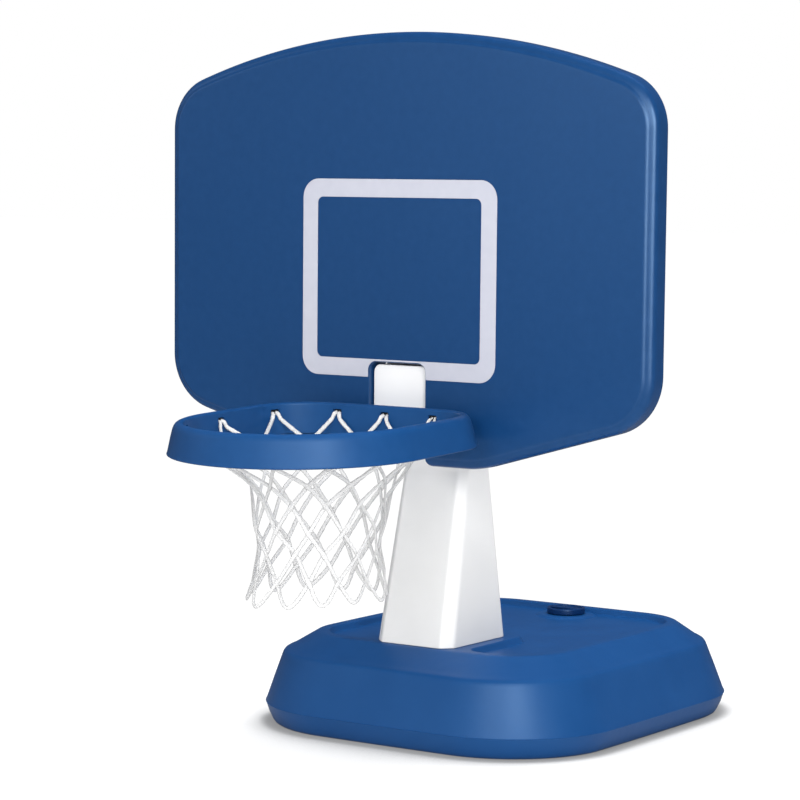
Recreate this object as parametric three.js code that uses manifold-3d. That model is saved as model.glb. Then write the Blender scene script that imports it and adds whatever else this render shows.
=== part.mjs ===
// Poolside basketball hoop: a blow-moulded ballast tank carries a tapered white
// column, a hollow backboard and a drooping U-shaped rim with a knotted net.
// Millimetres, +Z up. Y = 0 is the backboard's front face, X = 0 the centre line
// and Z = 0 the deck that the tank stands on.

import * as THREE from 'three';
import * as BufferGeometryUtils from 'three/addons/utils/BufferGeometryUtils.js';
import Module from 'manifold-3d';

const wasm = await Module();
wasm.setup();

// Clearances shared by the whole assembly
const seatGap = 0.3;          // between two pieces that touch
const runGap = 0.5;           // round a thread or a shank
const cutOverrun = 5;         // how far a cutting tool passes a face

// Ballast tank
const tankWidth = 486;        // on the deck, across X
const tankFrontY = -27;
const tankBackY = 528;
const tankCorner = 140;       // corner radius of the outline on the deck
const tankBow = 4;            // outward bow of each side
const tankWall = 3.5;
const soleRound = 6;          // rounding from the sole into the skirt
const creaseHeight = 28;      // parting crease above the deck
const creaseFlare = 9;        // how far the crease stands out past the sole
const shoulderHeight = 98;
const shoulderInset = 19;
const shoulderInsetFront = 13;
const crestHeight = 122;      // raised border of the top
const crestInset = 58;
const crestInsetFront = 66;
const crestBreadth = 9;       // flat of the raised border
const shoulderRoll = 3;       // rounding of the shoulder, across and down
const crestRoll = 3;
const trayDepth = 8;          // sunk floor inside the border
const trayFall = 11;          // run of the slope down to the floor
const trayHeight = crestHeight - trayDepth;

// Column
const footWidth = 119;
const footFrontY = 36;
const footBackY = 183;
const footChamfer = 14;
const waistHeight = 345;      // where the front face starts to reach forward
const waistWidth = 101;
const waistFrontY = 84;
const waistBackY = 152;
const waistChamfer = 11;
const neckRise = 67;          // height in which the front face reaches the board
const headHeight = 640;
const headWidth = 84;
const headRound = 6;          // rounding of the closed top
const columnWall = 4;
const plugDepth = 62;         // column below the tank's top
const plugInset = 4;
const plugFloor = 8;
const plugMouth = 18;         // radius of the moulding hole in the plug's floor

// Pad that carries the column's foot
const padMargin = 13.5;
const padFall = 8;
const padCorner = 22;

// Backboard
const boardHalf = 369;
const boardDepth = 33;
const boardTop = 907;
const boardCrown = 960;       // radius of the arched top edge
const boardTopCorner = 70;
const boardLowCorner = 75;
const boardBottom = 360.5;
const boardFlatHalf = 119;    // half of the level bottom edge
const boardRise = 0.278;      // radians, slope of the lower edges
const boardBlend = 120;       // radius between level edge and slope
const boardWall = 3.5;
const boardEdge = 17;         // roll of the front edge
const boardBackEdge = 3;
const boardEdgeShares = [[0, 1], [0.16, 0.46], [0.54, 0.12], [1.1, 0]];
const tackRowShares = [0.3, 0.52, 0.74];
const tackInnerShare = 0.32;
const tackOuterShare = 0.86;
const tackWidth = 16;
const tackDepth = 15;
const blowHoleShare = 0.75;
const slotHalf = 43;
const slotTop = 490;
const slotCorner = 11;

// Column head behind and through the board
const tongueSide = 2;         // room beside the tongue in the slot
const tongueGap = 3;          // room above it
const tongueHalf = slotHalf - tongueSide;
const tongueTop = slotTop - tongueGap;
const tongueFrontY = 8;
const tongueBelow = 35;       // lower end of the tongue below the rim bolts
const tongueCorner = 10;
const earHalf = 72;
const earDrop = 4;            // top of the ears below the column's top
const earLength = 138;
const earTop = headHeight - earDrop;
const earBottom = earTop - earLength;
const earThick = 7.5;
const earCorner = 14;
const headFrontY = boardDepth + 2 * seatGap;

// White target print on the board
const targetHalf = 148;
const targetTop = 722.4;
const targetDrop = 19.4;       // bottom edge of the frame below the slot's top
const targetBottom = slotTop - targetDrop;
const targetBand = 23;
const targetCorner = 24;
const targetInnerCorner = 8;
const targetThick = 0.5;

// Rim band, measured in its own plane before it droops
const rimRadius = 167;        // outer radius of the front half, at the lower edge
const rimCentreY = -200;
const rimBackY = -6.9;        // lower edge beside the board
const rimCorner = 89;
const rimHeight = 40;
const rimThick = 21;          // lower outer edge to the inner wall
const rimWall = 3;
const rimBelowSlot = 51.7;
const rimTopZ = slotTop - rimBelowSlot; // top of the band at the board
const rimDroop = 0.035;       // radians, front of the rim below level
const rimChannelPad = 11;     // face that the rim bolts pull on, behind the lower edge
const rimLip = 0.6;
const rimLipHeight = 2.2;

// Section of the band, as shares of its thickness and height
const rimOuterShares = [
  [0.03, 0.945], [0.286, 0.35], [0.41, 0.14], [0.62, 0.022], [0.81, 0], [0.95, 0.033], [1, 0.1], [1, 1],
];
const rimChannelShares = [[0.571, 0.01], [0.4, 0.125], [0.286, 0.3]];
const rimChannelFootShare = 0.045;
const rimChannelEdgeShare = 0.06;

// Rim fixing
const bossHalf = 36;
const bossReach = 15;         // above and below the rim bolts
const rimBoltX = 24;
const rimBoltDrop = 19.3;     // below the top of the band
const rimBoltZ = rimTopZ - rimBoltDrop;
const spotProud = 1;          // spot face past the column's sloping back
const boltRadius = 4;
const boltHeadAcross = 13;
const boltHeadThick = 5.3;
const knobRadius = 20;
const knobThick = 16;
const knobLobes = 6;
const knobLobeDepth = 2.6;
const knobHub = 12;
const knobEdge = 2.5;
const knobSeatShare = 0.9;
const knobTopShare = 0.86;
const knobHubRadius = 10.8;
const knobBoreEnd = 3;        // bore past the end of the bolt
const washerThick = 1.6;
const washerRadius = 9;
const spotRadius = 15;

// Net
const netLoops = 12;
const netRadius = 1.9;        // half of the cord's thickness
const netKnot = 3.2;          // reach of a knot from its middle
const netLength = 227.3;      // from the top of the band to the lowest loops
const netDropShares = [0.208, 0.331, 0.446, 0.591, 0.723, 0.872, 1];
const netSideShare = 0.81;    // first knots, of the hoop's inner half width
const netFrontShare = 0.855;
const netHalfXShares = [1, 0.766, 0.68, 0.641, 0.609, 0.643, 0.703];
const netHalfYShares = [1, 0.795, 0.706, 0.654, 0.618, 0.632, 0.691];
const netCentreShares = [0.14, 0.22, 0.198, 0.184, 0.162, 0.125, 0.095];

// Net holes and the toggles behind them
const slotWidthNet = 13;
const netSlotTop = 7.5;       // below the top of the band
const netSlotBottom = 16.5;
const toggleRadius = 2.2;
const toggleDepth = 14;         // below the top of the band
const toggleLength = 19;

// Cap of the filling neck
const neckY = 427;
const neckRadius = 20.5;
const neckWall = 3.5;
const neckDepth = 20;
const collarRadius = 40;
const collarRise = 3;
const capRadius = 26.5;
const capThick = 6;
const capBevel = 1.5;
const capGripTuck = 0.5;      // ends of the grip bar inside the ring
const capDish = 3.5;
const capRing = 4.5;
const capGrip = 8;
const capSkirt = 17;
const capSkirtWall = 3;
const gasketThick = 2;
const gasketWidth = 3.4;

// Screws between ears and board
const screwX = 60;
const screwInset = 23;        // from either end of an ear
const screwLow = earBottom + screwInset;
const screwHigh = earTop - screwInset;
const screwRadius = 2.5;
const screwHead = 6;
const screwHeadThick = 3;
const screwCrown = 4.2;       // radius of the flat on the head
const screwTip = 4;
const screwReach = 24;        // into the board
const screwBoss = 8;

// Bolts between tank and column
const footBoltX = 32;
const footBoltFrontY = 86;
const footBoltBackY = 140;
const kissWall = 8;           // tank's double wall under the column
const footBoltLength = 25;
const insertFlange = 10;
const insertFlangeThick = 2;
const insertBarrel = 5.8;

// Finishes
const blue = new THREE.MeshStandardMaterial({ color: 0x2a568f, roughness: 0.5, metalness: 0 });
const navy = new THREE.MeshStandardMaterial({ color: 0x0d2350, roughness: 0.4, metalness: 0 });
const white = new THREE.MeshStandardMaterial({ color: 0xe9e9ea, roughness: 0.3, metalness: 0 });
const print = new THREE.MeshStandardMaterial({ color: 0xd6dbe8, roughness: 0.5, metalness: 0 });
const cord = new THREE.MeshStandardMaterial({ color: 0xeeeeee, roughness: 0.8, metalness: 0 });
const black = new THREE.MeshStandardMaterial({ color: 0x101114, roughness: 0.5, metalness: 0 });
const steel = new THREE.MeshStandardMaterial({ color: 0xb9bcc0, roughness: 0.3, metalness: 1 });
const brass = new THREE.MeshStandardMaterial({ color: 0xb79a55, roughness: 0.35, metalness: 1 });
const rubber = new THREE.MeshStandardMaterial({ color: 0x1b1b1c, roughness: 0.9, metalness: 0 });

const hoop = new THREE.Group();

// A closed mesh as a solid that can be joined and cut
function solidOf(geometry) {
  const bare = geometry.clone();
  bare.deleteAttribute('normal');
  bare.deleteAttribute('uv');
  const merged = BufferGeometryUtils.mergeVertices(bare, 1e-4);
  return new wasm.Manifold(new wasm.Mesh({
    numProp: 3,
    vertProperties: new Float32Array(merged.attributes.position.array),
    triVerts: new Uint32Array(merged.index.array),
  }));
}

// The mesh of a solid, as a named piece of the hoop
function addPiece(name, solid, material, parent = hoop) {
  const data = solid.getMesh();
  const geometry = new THREE.BufferGeometry();
  geometry.setAttribute('position', new THREE.BufferAttribute(new Float32Array(data.vertProperties), 3));
  geometry.setIndex(new THREE.BufferAttribute(new Uint32Array(data.triVerts), 1));
  geometry.computeVertexNormals();
  const piece = new THREE.Mesh(geometry, material);
  piece.name = name;
  parent.add(piece);
  return piece;
}

// Skin through rings of equally many points, each ring anticlockwise seen from the last one
function loftSolid(rings) {
  const count = rings[0].length;
  const positions = rings.flat().flatMap((p) => [p.x, p.y, p.z]);
  const faces = [];
  for (let r = 0; r + 1 < rings.length; r += 1) {
    for (let i = 0; i < count; i += 1) {
      const j = (i + 1) % count;
      const low = r * count;
      const high = low + count;
      faces.push(low + i, low + j, high + j, low + i, high + j, high + i);
    }
  }
  const capFaces = (ring, base, outward) => {
    const across = ring[0].clone().sub(ring[Math.floor(count / 2)]).normalize();
    const normal = outward.clone().normalize();
    const up = normal.clone().cross(across).normalize();
    const flat = ring.map((p) => new THREE.Vector2(p.dot(across), p.dot(up)));
    for (const face of THREE.ShapeUtils.triangulateShape(flat, [])) {
      faces.push(...face.map((v) => v + base));
    }
  };
  const ringNormal = (ring) => {
    const n = new THREE.Vector3();
    for (let i = 0; i < count; i += 1) {
      n.add(ring[i].clone().cross(ring[(i + 1) % count]));
    }
    return n;
  };
  const last = rings.length - 1;
  capFaces(rings[0], 0, ringNormal(rings[0]).negate());
  capFaces(rings[last], last * count, ringNormal(rings[last]));
  const geometry = new THREE.BufferGeometry();
  geometry.setAttribute('position', new THREE.Float32BufferAttribute(positions, 3));
  geometry.setIndex(faces);
  return solidOf(geometry);
}

// Points of an arc in a plane, both ends included
function arcPoints(cx, cy, radius, from, to, steps) {
  const points = [];
  for (let i = 0; i <= steps; i += 1) {
    const angle = from + ((to - from) * i) / steps;
    points.push(new THREE.Vector2(cx + radius * Math.cos(angle), cy + radius * Math.sin(angle)));
  }
  return points;
}

const quarter = Math.PI / 2;

// Rounded rectangle, anticlockwise
function roundedRect(left, right, low, high, radius, steps) {
  const r = Math.min(radius, (right - left) / 2, (high - low) / 2);
  return [
    ...arcPoints(right - r, low + r, r, -quarter, 0, steps),
    ...arcPoints(right - r, high - r, r, 0, quarter, steps),
    ...arcPoints(left + r, high - r, r, quarter, 2 * quarter, steps),
    ...arcPoints(left + r, low + r, r, 2 * quarter, 3 * quarter, steps),
  ];
}

// Rectangle with cut corners, anticlockwise
function chamferedRect(half, low, high, cut) {
  return [
    new THREE.Vector2(half - cut, low),
    new THREE.Vector2(half, low + cut),
    new THREE.Vector2(half, high - cut),
    new THREE.Vector2(half - cut, high),
    new THREE.Vector2(cut - half, high),
    new THREE.Vector2(-half, high - cut),
    new THREE.Vector2(-half, low + cut),
    new THREE.Vector2(cut - half, low),
  ];
}

const level = (points, z) => points.map((p) => new THREE.Vector3(p.x, p.y, z));

// Prism through a plan outline, from one height to another
const prism = (points, low, high) => loftSolid([level(points, low), level(points, high)]);

// Round bar along Z or Y; on the flat of its facets the radius is full
function barZ(x, y, low, high, radius, sides) {
  const bar = new THREE.CylinderGeometry(radius, radius, high - low, sides);
  bar.rotateX(quarter);
  bar.translate(x, y, (low + high) / 2);
  return solidOf(bar);
}

function barY(x, z, front, back, radius, sides) {
  const bar = new THREE.CylinderGeometry(radius, radius, back - front, sides);
  bar.translate(x, (front + back) / 2, z);
  return solidOf(bar);
}

const boreSides = 12;
// Radius whose facets clear a round shank
const boreRadius = (radius) => radius / Math.cos(Math.PI / boreSides);

// Plan outline of the tank at an inset from its outline on the deck
function tankOutline(side, front, back) {
  const half = tankWidth / 2 - side;
  const low = tankFrontY + front;
  const high = tankBackY - back;
  const radius = tankCorner - side;
  const cornerSteps = 5;
  const sideSteps = 2;
  const corners = roundedRect(-half, half, low, high, radius, cornerSteps);
  const points = [];
  corners.forEach((point, i) => {
    points.push(point);
    if (i % (cornerSteps + 1) === cornerSteps) {
      const next = corners[(i + 1) % corners.length];
      for (let s = 1; s <= sideSteps; s += 1) {
        points.push(point.clone().lerp(next, s / (sideSteps + 1)));
      }
    }
  });
  const middle = (low + high) / 2;
  const depth = (high - low) / 2;
  return points.map((p) => {
    const along = (p.y - middle) / depth;
    const across = p.x / half;
    return new THREE.Vector2(
      p.x + tankBow * (1 - along * along) * across,
      p.y + tankBow * (1 - across * across) * along,
    );
  });
}

const tankRing = (side, front, back, z) => level(tankOutline(side, front, back), z);
const evenRing = (inset, z) => tankRing(inset, inset, inset, z);
// Ring of the top, whose slope is longer at the front than on the other sides
const topRing = (inset, frontInset, add, z) => tankRing(inset + add, frontInset + add, inset + add, z);

function tankShell() {
  const skin = loftSolid([
    evenRing(soleRound, 0),
    evenRing(0, soleRound),
    evenRing(-creaseFlare, creaseHeight),
    topRing(shoulderInset, shoulderInsetFront, -shoulderRoll, shoulderHeight - shoulderRoll),
    topRing(shoulderInset, shoulderInsetFront, shoulderRoll, shoulderHeight + shoulderRoll / 2),
    topRing(crestInset, crestInsetFront, -crestRoll, crestHeight - crestRoll / 2),
    topRing(crestInset, crestInsetFront, crestRoll, crestHeight),
    topRing(crestInset, crestInsetFront, crestBreadth, crestHeight),
    topRing(crestInset, crestInsetFront, crestBreadth + trayFall, trayHeight),
  ]);
  const ceiling = trayHeight - tankWall;
  const hollow = loftSolid([
    evenRing(soleRound + tankWall, tankWall),
    evenRing(tankWall - creaseFlare, creaseHeight),
    topRing(shoulderInset, shoulderInsetFront, tankWall, shoulderHeight - tankWall),
    topRing(crestInset, crestInsetFront, tankWall, ceiling),
  ]);
  return { skin, hollow, ceiling };
}

// The column's foot, and the plug and socket below it, share one outline
const footOutline = (inset) => chamferedRect(
  footWidth / 2 - inset,
  footFrontY + inset,
  footBackY - inset,
  footChamfer - inset / 2,
);
const footZ = crestHeight + seatGap;
const plugBottom = crestHeight - plugDepth;
const socketFloor = plugBottom - seatGap;
const pocketCeiling = socketFloor - kissWall;
const footBolts = [
  [-footBoltX, footBoltFrontY],
  [footBoltX, footBoltFrontY],
  [-footBoltX, footBoltBackY],
  [footBoltX, footBoltBackY],
];

function makeTank() {
  const { skin, hollow, ceiling } = tankShell();
  const padLow = roundedRect(
    -footWidth / 2 - padMargin - padFall,
    footWidth / 2 + padMargin + padFall,
    footFrontY + padFall / 4,
    footBackY + padMargin + padFall,
    padCorner + padFall,
    4,
  );
  const padHigh = roundedRect(
    -footWidth / 2 - padMargin,
    footWidth / 2 + padMargin,
    footFrontY + padFall / 4,
    footBackY + padMargin,
    padCorner,
    4,
  );
  const pad = loftSolid([level(padLow, ceiling + tankWall / 2), level(padLow, trayHeight), level(padHigh, crestHeight)]);
  const socket = prism(footOutline(plugInset - seatGap), socketFloor, crestHeight + cutOverrun);
  const socketWall = prism(footOutline(plugInset - seatGap - tankWall), pocketCeiling, crestHeight);
  const pocketInset = plugInset + tankWall;
  const pocket = prism(footOutline(pocketInset), -cutOverrun, pocketCeiling);
  const pocketWall = prism(footOutline(pocketInset - tankWall), 0, socketFloor);
  const collarTop = trayHeight + collarRise;
  const collar = barZ(0, neckY, ceiling + tankWall / 2, collarTop, collarRadius, 32);
  const neckTube = barZ(0, neckY, collarTop - neckDepth, collarTop, neckRadius + neckWall, 32);
  const neckBore = barZ(0, neckY, collarTop - neckDepth - cutOverrun, collarTop + cutOverrun, neckRadius, 32);
  let tank = skin.add(pad).add(collar);
  tank = tank.subtract(hollow.subtract(socketWall).subtract(pocketWall).subtract(neckTube));
  tank = tank.subtract(socket).subtract(pocket).subtract(neckBore);
  for (const [x, y] of footBolts) {
    tank = tank.subtract(barZ(x, y, pocketCeiling - cutOverrun, socketFloor + cutOverrun, boreRadius(boltRadius + runGap), boreSides));
  }
  addPiece('base_tank', tank, blue);
}

makeTank();

// Fill cap: dished disc with a grip bar, skirt down the neck, gasket under the disc
const capSeat = trayHeight + collarRise + seatGap;

function lathe(profile, sides) {
  const geometry = new THREE.LatheGeometry(profile.map(([r, z]) => new THREE.Vector2(r, z)), sides);
  geometry.rotateX(quarter);
  return solidOf(geometry);
}

function makeCap() {
  const disc = gasketThick + seatGap;
  const top = disc + capThick;
  const skirtRadius = neckRadius - runGap - seatGap;
  const body = lathe([
    [0, disc],
    [skirtRadius - capSkirtWall, disc],
    [skirtRadius - capSkirtWall, -capSkirt],
    [skirtRadius, -capSkirt],
    [skirtRadius, disc],
    [capRadius, disc],
    [capRadius, top - capBevel],
    [capRadius - capBevel, top],
    [capRadius - capRing, top],
    [capRadius - capRing, top - capDish],
    [0, top - capDish],
  ], 28);
  const grip = new THREE.BoxGeometry(2 * (capRadius - capRing + capGripTuck), capGrip, capDish);
  grip.translate(0, 0, top - capDish / 2);
  const cap = body.add(solidOf(grip));
  const seal = lathe([
    [neckRadius + gasketWidth, gasketThick],
    [neckRadius, gasketThick],
    [neckRadius, 0],
    [neckRadius + gasketWidth, 0],
    [neckRadius + gasketWidth, gasketThick],
  ], 28);
  const place = new THREE.Group();
  place.position.set(0, neckY, capSeat);
  hoop.add(place);
  addPiece('fill_cap', cap, navy, place);
  addPiece('fill_cap_gasket', seal, rubber, place);
}

makeCap();

// Column: width, front, back and chamfer at a height, all from foot, waist and head
function columnAt(z, frontY) {
  const rise = (z - footZ) / (waistHeight - footZ);
  const climb = Math.max(0, (z - waistHeight) / (headHeight - waistHeight));
  const lower = Math.min(rise, 1);
  const width = THREE.MathUtils.lerp(THREE.MathUtils.lerp(footWidth, waistWidth, lower), headWidth, climb);
  const back = THREE.MathUtils.lerp(footBackY, waistBackY, rise);
  const cut = THREE.MathUtils.lerp(footChamfer, waistChamfer, lower);
  return { half: width / 2, front: frontY, back, cut, z };
}

// Front face: straight up to the waist, then a swan neck forward to the board's back
const neckEnd = waistHeight + neckRise;
const neckShares = [0.22, 0.4, 0.58, 0.76];
function columnFront(z) {
  if (z <= waistHeight) {
    return THREE.MathUtils.lerp(footFrontY, waistFrontY, (z - footZ) / (waistHeight - footZ));
  }
  const t = THREE.MathUtils.clamp((z - waistHeight) / neckRise, 0, 1);
  return THREE.MathUtils.lerp(waistFrontY, headFrontY, t * t * (3 - 2 * t));
}

const columnRing = (z, inset) => {
  const c = columnAt(z, columnFront(z));
  return level(chamferedRect(c.half - inset, c.front + inset, c.back - inset, c.cut - inset / 2), z);
};

const rimBolts = [-rimBoltX, rimBoltX];
const boardScrews = [
  [-screwX, screwLow],
  [screwX, screwLow],
  [-screwX, screwHigh],
  [screwX, screwHigh],
];
const spotFaceY = columnAt(rimBoltZ - spotRadius, 0).back + spotProud;

function makeColumn() {
  const neckHeights = neckShares.map((share) => waistHeight + share * neckRise);
  const outer = loftSolid([
    level(footOutline(plugInset), plugBottom),
    level(footOutline(plugInset), footZ),
    columnRing(footZ + seatGap, 0),
    columnRing(waistHeight, 0),
    ...neckHeights.map((z) => columnRing(z, 0)),
    columnRing(neckEnd, 0),
    columnRing(headHeight - headRound, 0),
    columnRing(headHeight, headRound),
  ]);
  const inner = loftSolid([
    level(footOutline(plugInset + columnWall), plugBottom + plugFloor),
    level(footOutline(plugInset + columnWall), footZ + columnWall),
    columnRing(waistHeight, columnWall),
    ...neckHeights.map((z) => columnRing(z, columnWall)),
    columnRing(neckEnd, columnWall),
    columnRing(headHeight - headRound - columnWall, columnWall),
  ]);
  const uprightPlate = (points, front, back) => {
    const ring = (y) => points.map((p) => new THREE.Vector3(p.x, y, p.y));
    return loftSolid([ring(back), ring(front)]);
  };
  const tonguePoints = roundedRect(-tongueHalf, tongueHalf, rimBoltZ - tongueBelow, tongueTop, tongueCorner, 3);
  const tongue = uprightPlate(tonguePoints, tongueFrontY, headFrontY + columnWall);
  const earPoints = roundedRect(-earHalf, earHalf, earBottom, earTop, earCorner, 3);
  const ears = uprightPlate(earPoints, headFrontY, headFrontY + earThick);
  let column = outer.add(tongue).add(ears);
  let hollow = inner;
  for (const x of rimBolts) {
    column = column.add(barY(x, rimBoltZ, spotFaceY - 2 * columnWall, spotFaceY, spotRadius, 16));
    hollow = hollow.subtract(barY(x, rimBoltZ, 0, spotFaceY, boltRadius + runGap + columnWall, 12));
  }
  column = column.subtract(hollow);
  column = column.subtract(barZ(0, (footFrontY + footBackY) / 2, plugBottom - cutOverrun, plugBottom + plugFloor + cutOverrun, plugMouth, 16));
  for (const x of rimBolts) {
    column = column.subtract(barY(x, rimBoltZ, 0, spotFaceY + cutOverrun, boreRadius(boltRadius + runGap), boreSides));
  }
  for (const [x, z] of boardScrews) {
    column = column.subtract(barY(x, z, headFrontY - cutOverrun, headFrontY + earThick + cutOverrun, boreRadius(screwRadius + runGap), boreSides));
  }
  const barrelBore = boreRadius(insertBarrel + seatGap);
  for (const [x, y] of footBolts) {
    column = column.subtract(barZ(x, y, plugBottom - cutOverrun, plugBottom + plugFloor + cutOverrun, barrelBore, boreSides));
  }
  addPiece('column', column, white);
}

makeColumn();

// Backboard outline in X and Z at an inset from its edge, clockwise seen from the front
function boardOutline(inset) {
  const half = boardHalf - inset;
  const crown = boardCrown - inset;
  const crownZ = boardTop - boardCrown;
  const top = boardTopCorner - inset;
  const topZ = crownZ + Math.sqrt((crown - top) ** 2 - (half - top) ** 2);
  const topTurn = Math.atan2(topZ - crownZ, half - top);
  const low = boardLowCorner - inset;
  const bend = boardBottom + inset;
  const flat = boardFlatHalf + inset * Math.tan(boardRise / 2);
  const lowX = half - low;
  const lowZ = bend + (lowX - flat) * Math.tan(boardRise) + low / Math.cos(boardRise);
  const blend = boardBlend + inset;
  const blendRun = blend * Math.tan(boardRise / 2);
  const right = [
    new THREE.Vector2(flat - blendRun, bend),
    new THREE.Vector2(flat + blendRun * Math.cos(boardRise), bend + blendRun * Math.sin(boardRise)),
    ...arcPoints(lowX, lowZ, low, -quarter + boardRise, 0, 5),
    ...arcPoints(half - top, topZ, top, 0, topTurn, 5),
    ...arcPoints(0, crownZ, crown, topTurn, quarter, 5).slice(1),
  ];
  const left = right.slice(0, -1).reverse().map((p) => new THREE.Vector2(-p.x, p.y));
  return [...right, ...left];
}

const boardRing = (inset, y) => boardOutline(inset).map((p) => new THREE.Vector3(p.x, y, p.y));

function makeBoard() {
  const shell = loftSolid([
    boardRing(boardBackEdge, boardDepth),
    boardRing(0, boardDepth - boardBackEdge),
    ...boardEdgeShares.map(([across, deep]) => boardRing(boardEdge * across, boardEdge * deep)),
  ]);
  const hollow = loftSolid([
    boardRing(boardWall, boardDepth - boardWall),
    boardRing(boardWall, boardEdge),
    boardRing(boardEdge, boardWall),
  ]);
  const slotShape = (grow) => {
    const side = slotHalf + grow;
    const points = roundedRect(-side, side, boardBottom - 2 * boardEdge, slotTop + grow, slotCorner + grow, 3);
    const ring = (y) => points.map((p) => new THREE.Vector3(p.x, y, p.y));
    return loftSolid([ring(boardDepth + cutOverrun), ring(-cutOverrun)]);
  };
  // Long tack-off grooves stiffen the back skin on both sides of the column
  const groove = (side, z, grow) => {
    const from = boardHalf * tackInnerShare;
    const to = boardHalf * tackOuterShare;
    const box = new THREE.BoxGeometry(to - from + 2 * grow, tackDepth + grow + cutOverrun, tackWidth + 2 * grow);
    box.translate(side * (from + to) / 2, boardDepth + (cutOverrun - tackDepth - grow) / 2, z);
    return solidOf(box);
  };
  let inner = hollow.subtract(slotShape(boardWall));
  let board = shell;
  const grooves = [];
  for (const side of [-1, 1]) {
    for (const share of tackRowShares) {
      const z = THREE.MathUtils.lerp(boardBottom, boardTop, share);
      inner = inner.subtract(groove(side, z, boardWall));
      grooves.push(groove(side, z, 0));
    }
  }
  for (const [x, z] of boardScrews) {
    inner = inner.subtract(barY(x, z, 0, boardDepth, screwBoss, 12));
  }
  board = board.subtract(inner).subtract(slotShape(0));
  for (const cut of grooves) {
    board = board.subtract(cut);
  }
  for (const [x, z] of boardScrews) {
    board = board.subtract(barY(x, z, boardDepth - screwReach - runGap, boardDepth + cutOverrun, boreRadius(screwRadius + seatGap), boreSides));
  }
  const blowX = boardFlatHalf * blowHoleShare;
  board = board.subtract(barZ(blowX, boardDepth / 2, boardBottom - cutOverrun, boardBottom + 2 * cutOverrun, boltRadius, 10));
  addPiece('backboard', board, blue);
}

makeBoard();

function makeTarget() {
  const outer = roundedRect(-targetHalf, targetHalf, targetBottom, targetTop, targetCorner, 4);
  const inHalf = targetHalf - targetBand;
  const inner = roundedRect(-inHalf, inHalf, targetBottom + targetBand, targetTop - targetBand, targetInnerCorner, 3);
  const plate = (points, front, back) => {
    const ring = (y) => points.map((p) => new THREE.Vector3(p.x, y, p.y));
    return loftSolid([ring(back), ring(front)]);
  };
  const front = -seatGap - targetThick;
  const slot = roundedRect(-slotHalf, slotHalf, targetBottom - cutOverrun, slotTop, slotCorner, 3);
  const frame = plate(outer, front, -seatGap)
    .subtract(plate(inner, front - cutOverrun, cutOverrun))
    .subtract(plate(slot, front - cutOverrun, cutOverrun));
  addPiece('target_square', frame, print);
}

makeTarget();

// Rim: U outline in plan at an inset from the lower outer edge, anticlockwise from the back right
const frontSteps = 20;
const rearSteps = 7;
function rimOutline(inset) {
  const radius = rimRadius - inset;
  const back = rimBackY - inset;
  const corner = rimCorner - inset;
  return [
    ...arcPoints(0, rimCentreY, radius, Math.PI, 2 * Math.PI, frontSteps),
    ...arcPoints(radius - corner, back - corner, corner, 0, quarter, rearSteps),
    ...arcPoints(corner - radius, back - corner, corner, quarter, 2 * quarter, rearSteps),
  ];
}

// Section of the band: inset from the lower outer edge and height below the top
const rimSection = [
  [-rimLip, -rimHeight],
  [-rimLip, rimLipHeight - rimHeight],
  ...rimOuterShares.map(([across, down]) => [across * rimThick, -down * rimHeight]),
  [rimThick - rimWall, -rimHeight],
  [rimThick - rimWall, -rimWall - rimChannelEdgeShare * rimHeight],
  ...rimChannelShares.map(([across, down]) => [across * rimThick + rimWall, -down * rimHeight - rimWall]),
  [rimChannelFootShare * rimThick + rimWall, -rimHeight],
];

function rimSkin() {
  const loops = rimSection.map(([inset, z]) => level(rimOutline(inset), z));
  const count = loops[0].length;
  const positions = loops.flat().flatMap((p) => [p.x, p.y, p.z]);
  const faces = [];
  for (let s = 0; s < loops.length; s += 1) {
    const next = (s + 1) % loops.length;
    for (let i = 0; i < count; i += 1) {
      const j = (i + 1) % count;
      const a = s * count + i;
      const b = s * count + j;
      const c = next * count + j;
      const d = next * count + i;
      faces.push(a, b, c, a, c, d);
    }
  }
  const geometry = new THREE.BufferGeometry();
  geometry.setAttribute('position', new THREE.Float32BufferAttribute(positions, 3));
  geometry.setIndex(faces);
  return solidOf(geometry);
}

// Net holes: along the inner wall, in the order of the net's loops, from the back middle
const rearHoleInset = 5;      // before the rear wall's straight part ends
const rearHoleX = rimRadius - rimCorner - rearHoleInset;
const cornerHoleShare = 0.25; // of the quarter turn, from the side
const sideHoleRun = 25;       // from the front arc's centre back along the side
const frontHoleShares = [0.14, 0.32];
const innerRadius = rimRadius - rimThick;
const innerBack = rimBackY - rimThick;
const innerCorner = rimCorner - rimThick;

// Each hole: a point on the inner wall and the direction into the hoop
function netHoles() {
  const onArc = (x, y, radius, angle) => {
    const out = new THREE.Vector2(Math.cos(angle), Math.sin(angle));
    return { at: new THREE.Vector2(x, y).addScaledVector(out, radius), into: out.clone().negate() };
  };
  const half = [
    { at: new THREE.Vector2(rearHoleX, innerBack), into: new THREE.Vector2(0, -1) },
    onArc(innerRadius - innerCorner, innerBack - innerCorner, innerCorner, cornerHoleShare * quarter),
    { at: new THREE.Vector2(innerRadius, rimCentreY + sideHoleRun), into: new THREE.Vector2(-1, 0) },
    ...frontHoleShares.map((share) => onArc(0, rimCentreY, innerRadius, -share * Math.PI)),
  ];
  const mirror = (h) => ({ at: new THREE.Vector2(-h.at.x, h.at.y), into: new THREE.Vector2(-h.into.x, h.into.y) });
  const back = { at: new THREE.Vector2(0, innerBack), into: new THREE.Vector2(0, -1) };
  const front = { at: new THREE.Vector2(0, rimCentreY - innerRadius), into: new THREE.Vector2(0, 1) };
  return [back, ...half, front, ...half.map(mirror).reverse()];
}

const holes = netHoles();
const rimPlace = new THREE.Group();
rimPlace.position.set(0, 0, rimTopZ);
rimPlace.rotation.x = rimDroop;
rimPlace.updateMatrixWorld(true);
hoop.add(rimPlace);

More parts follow.
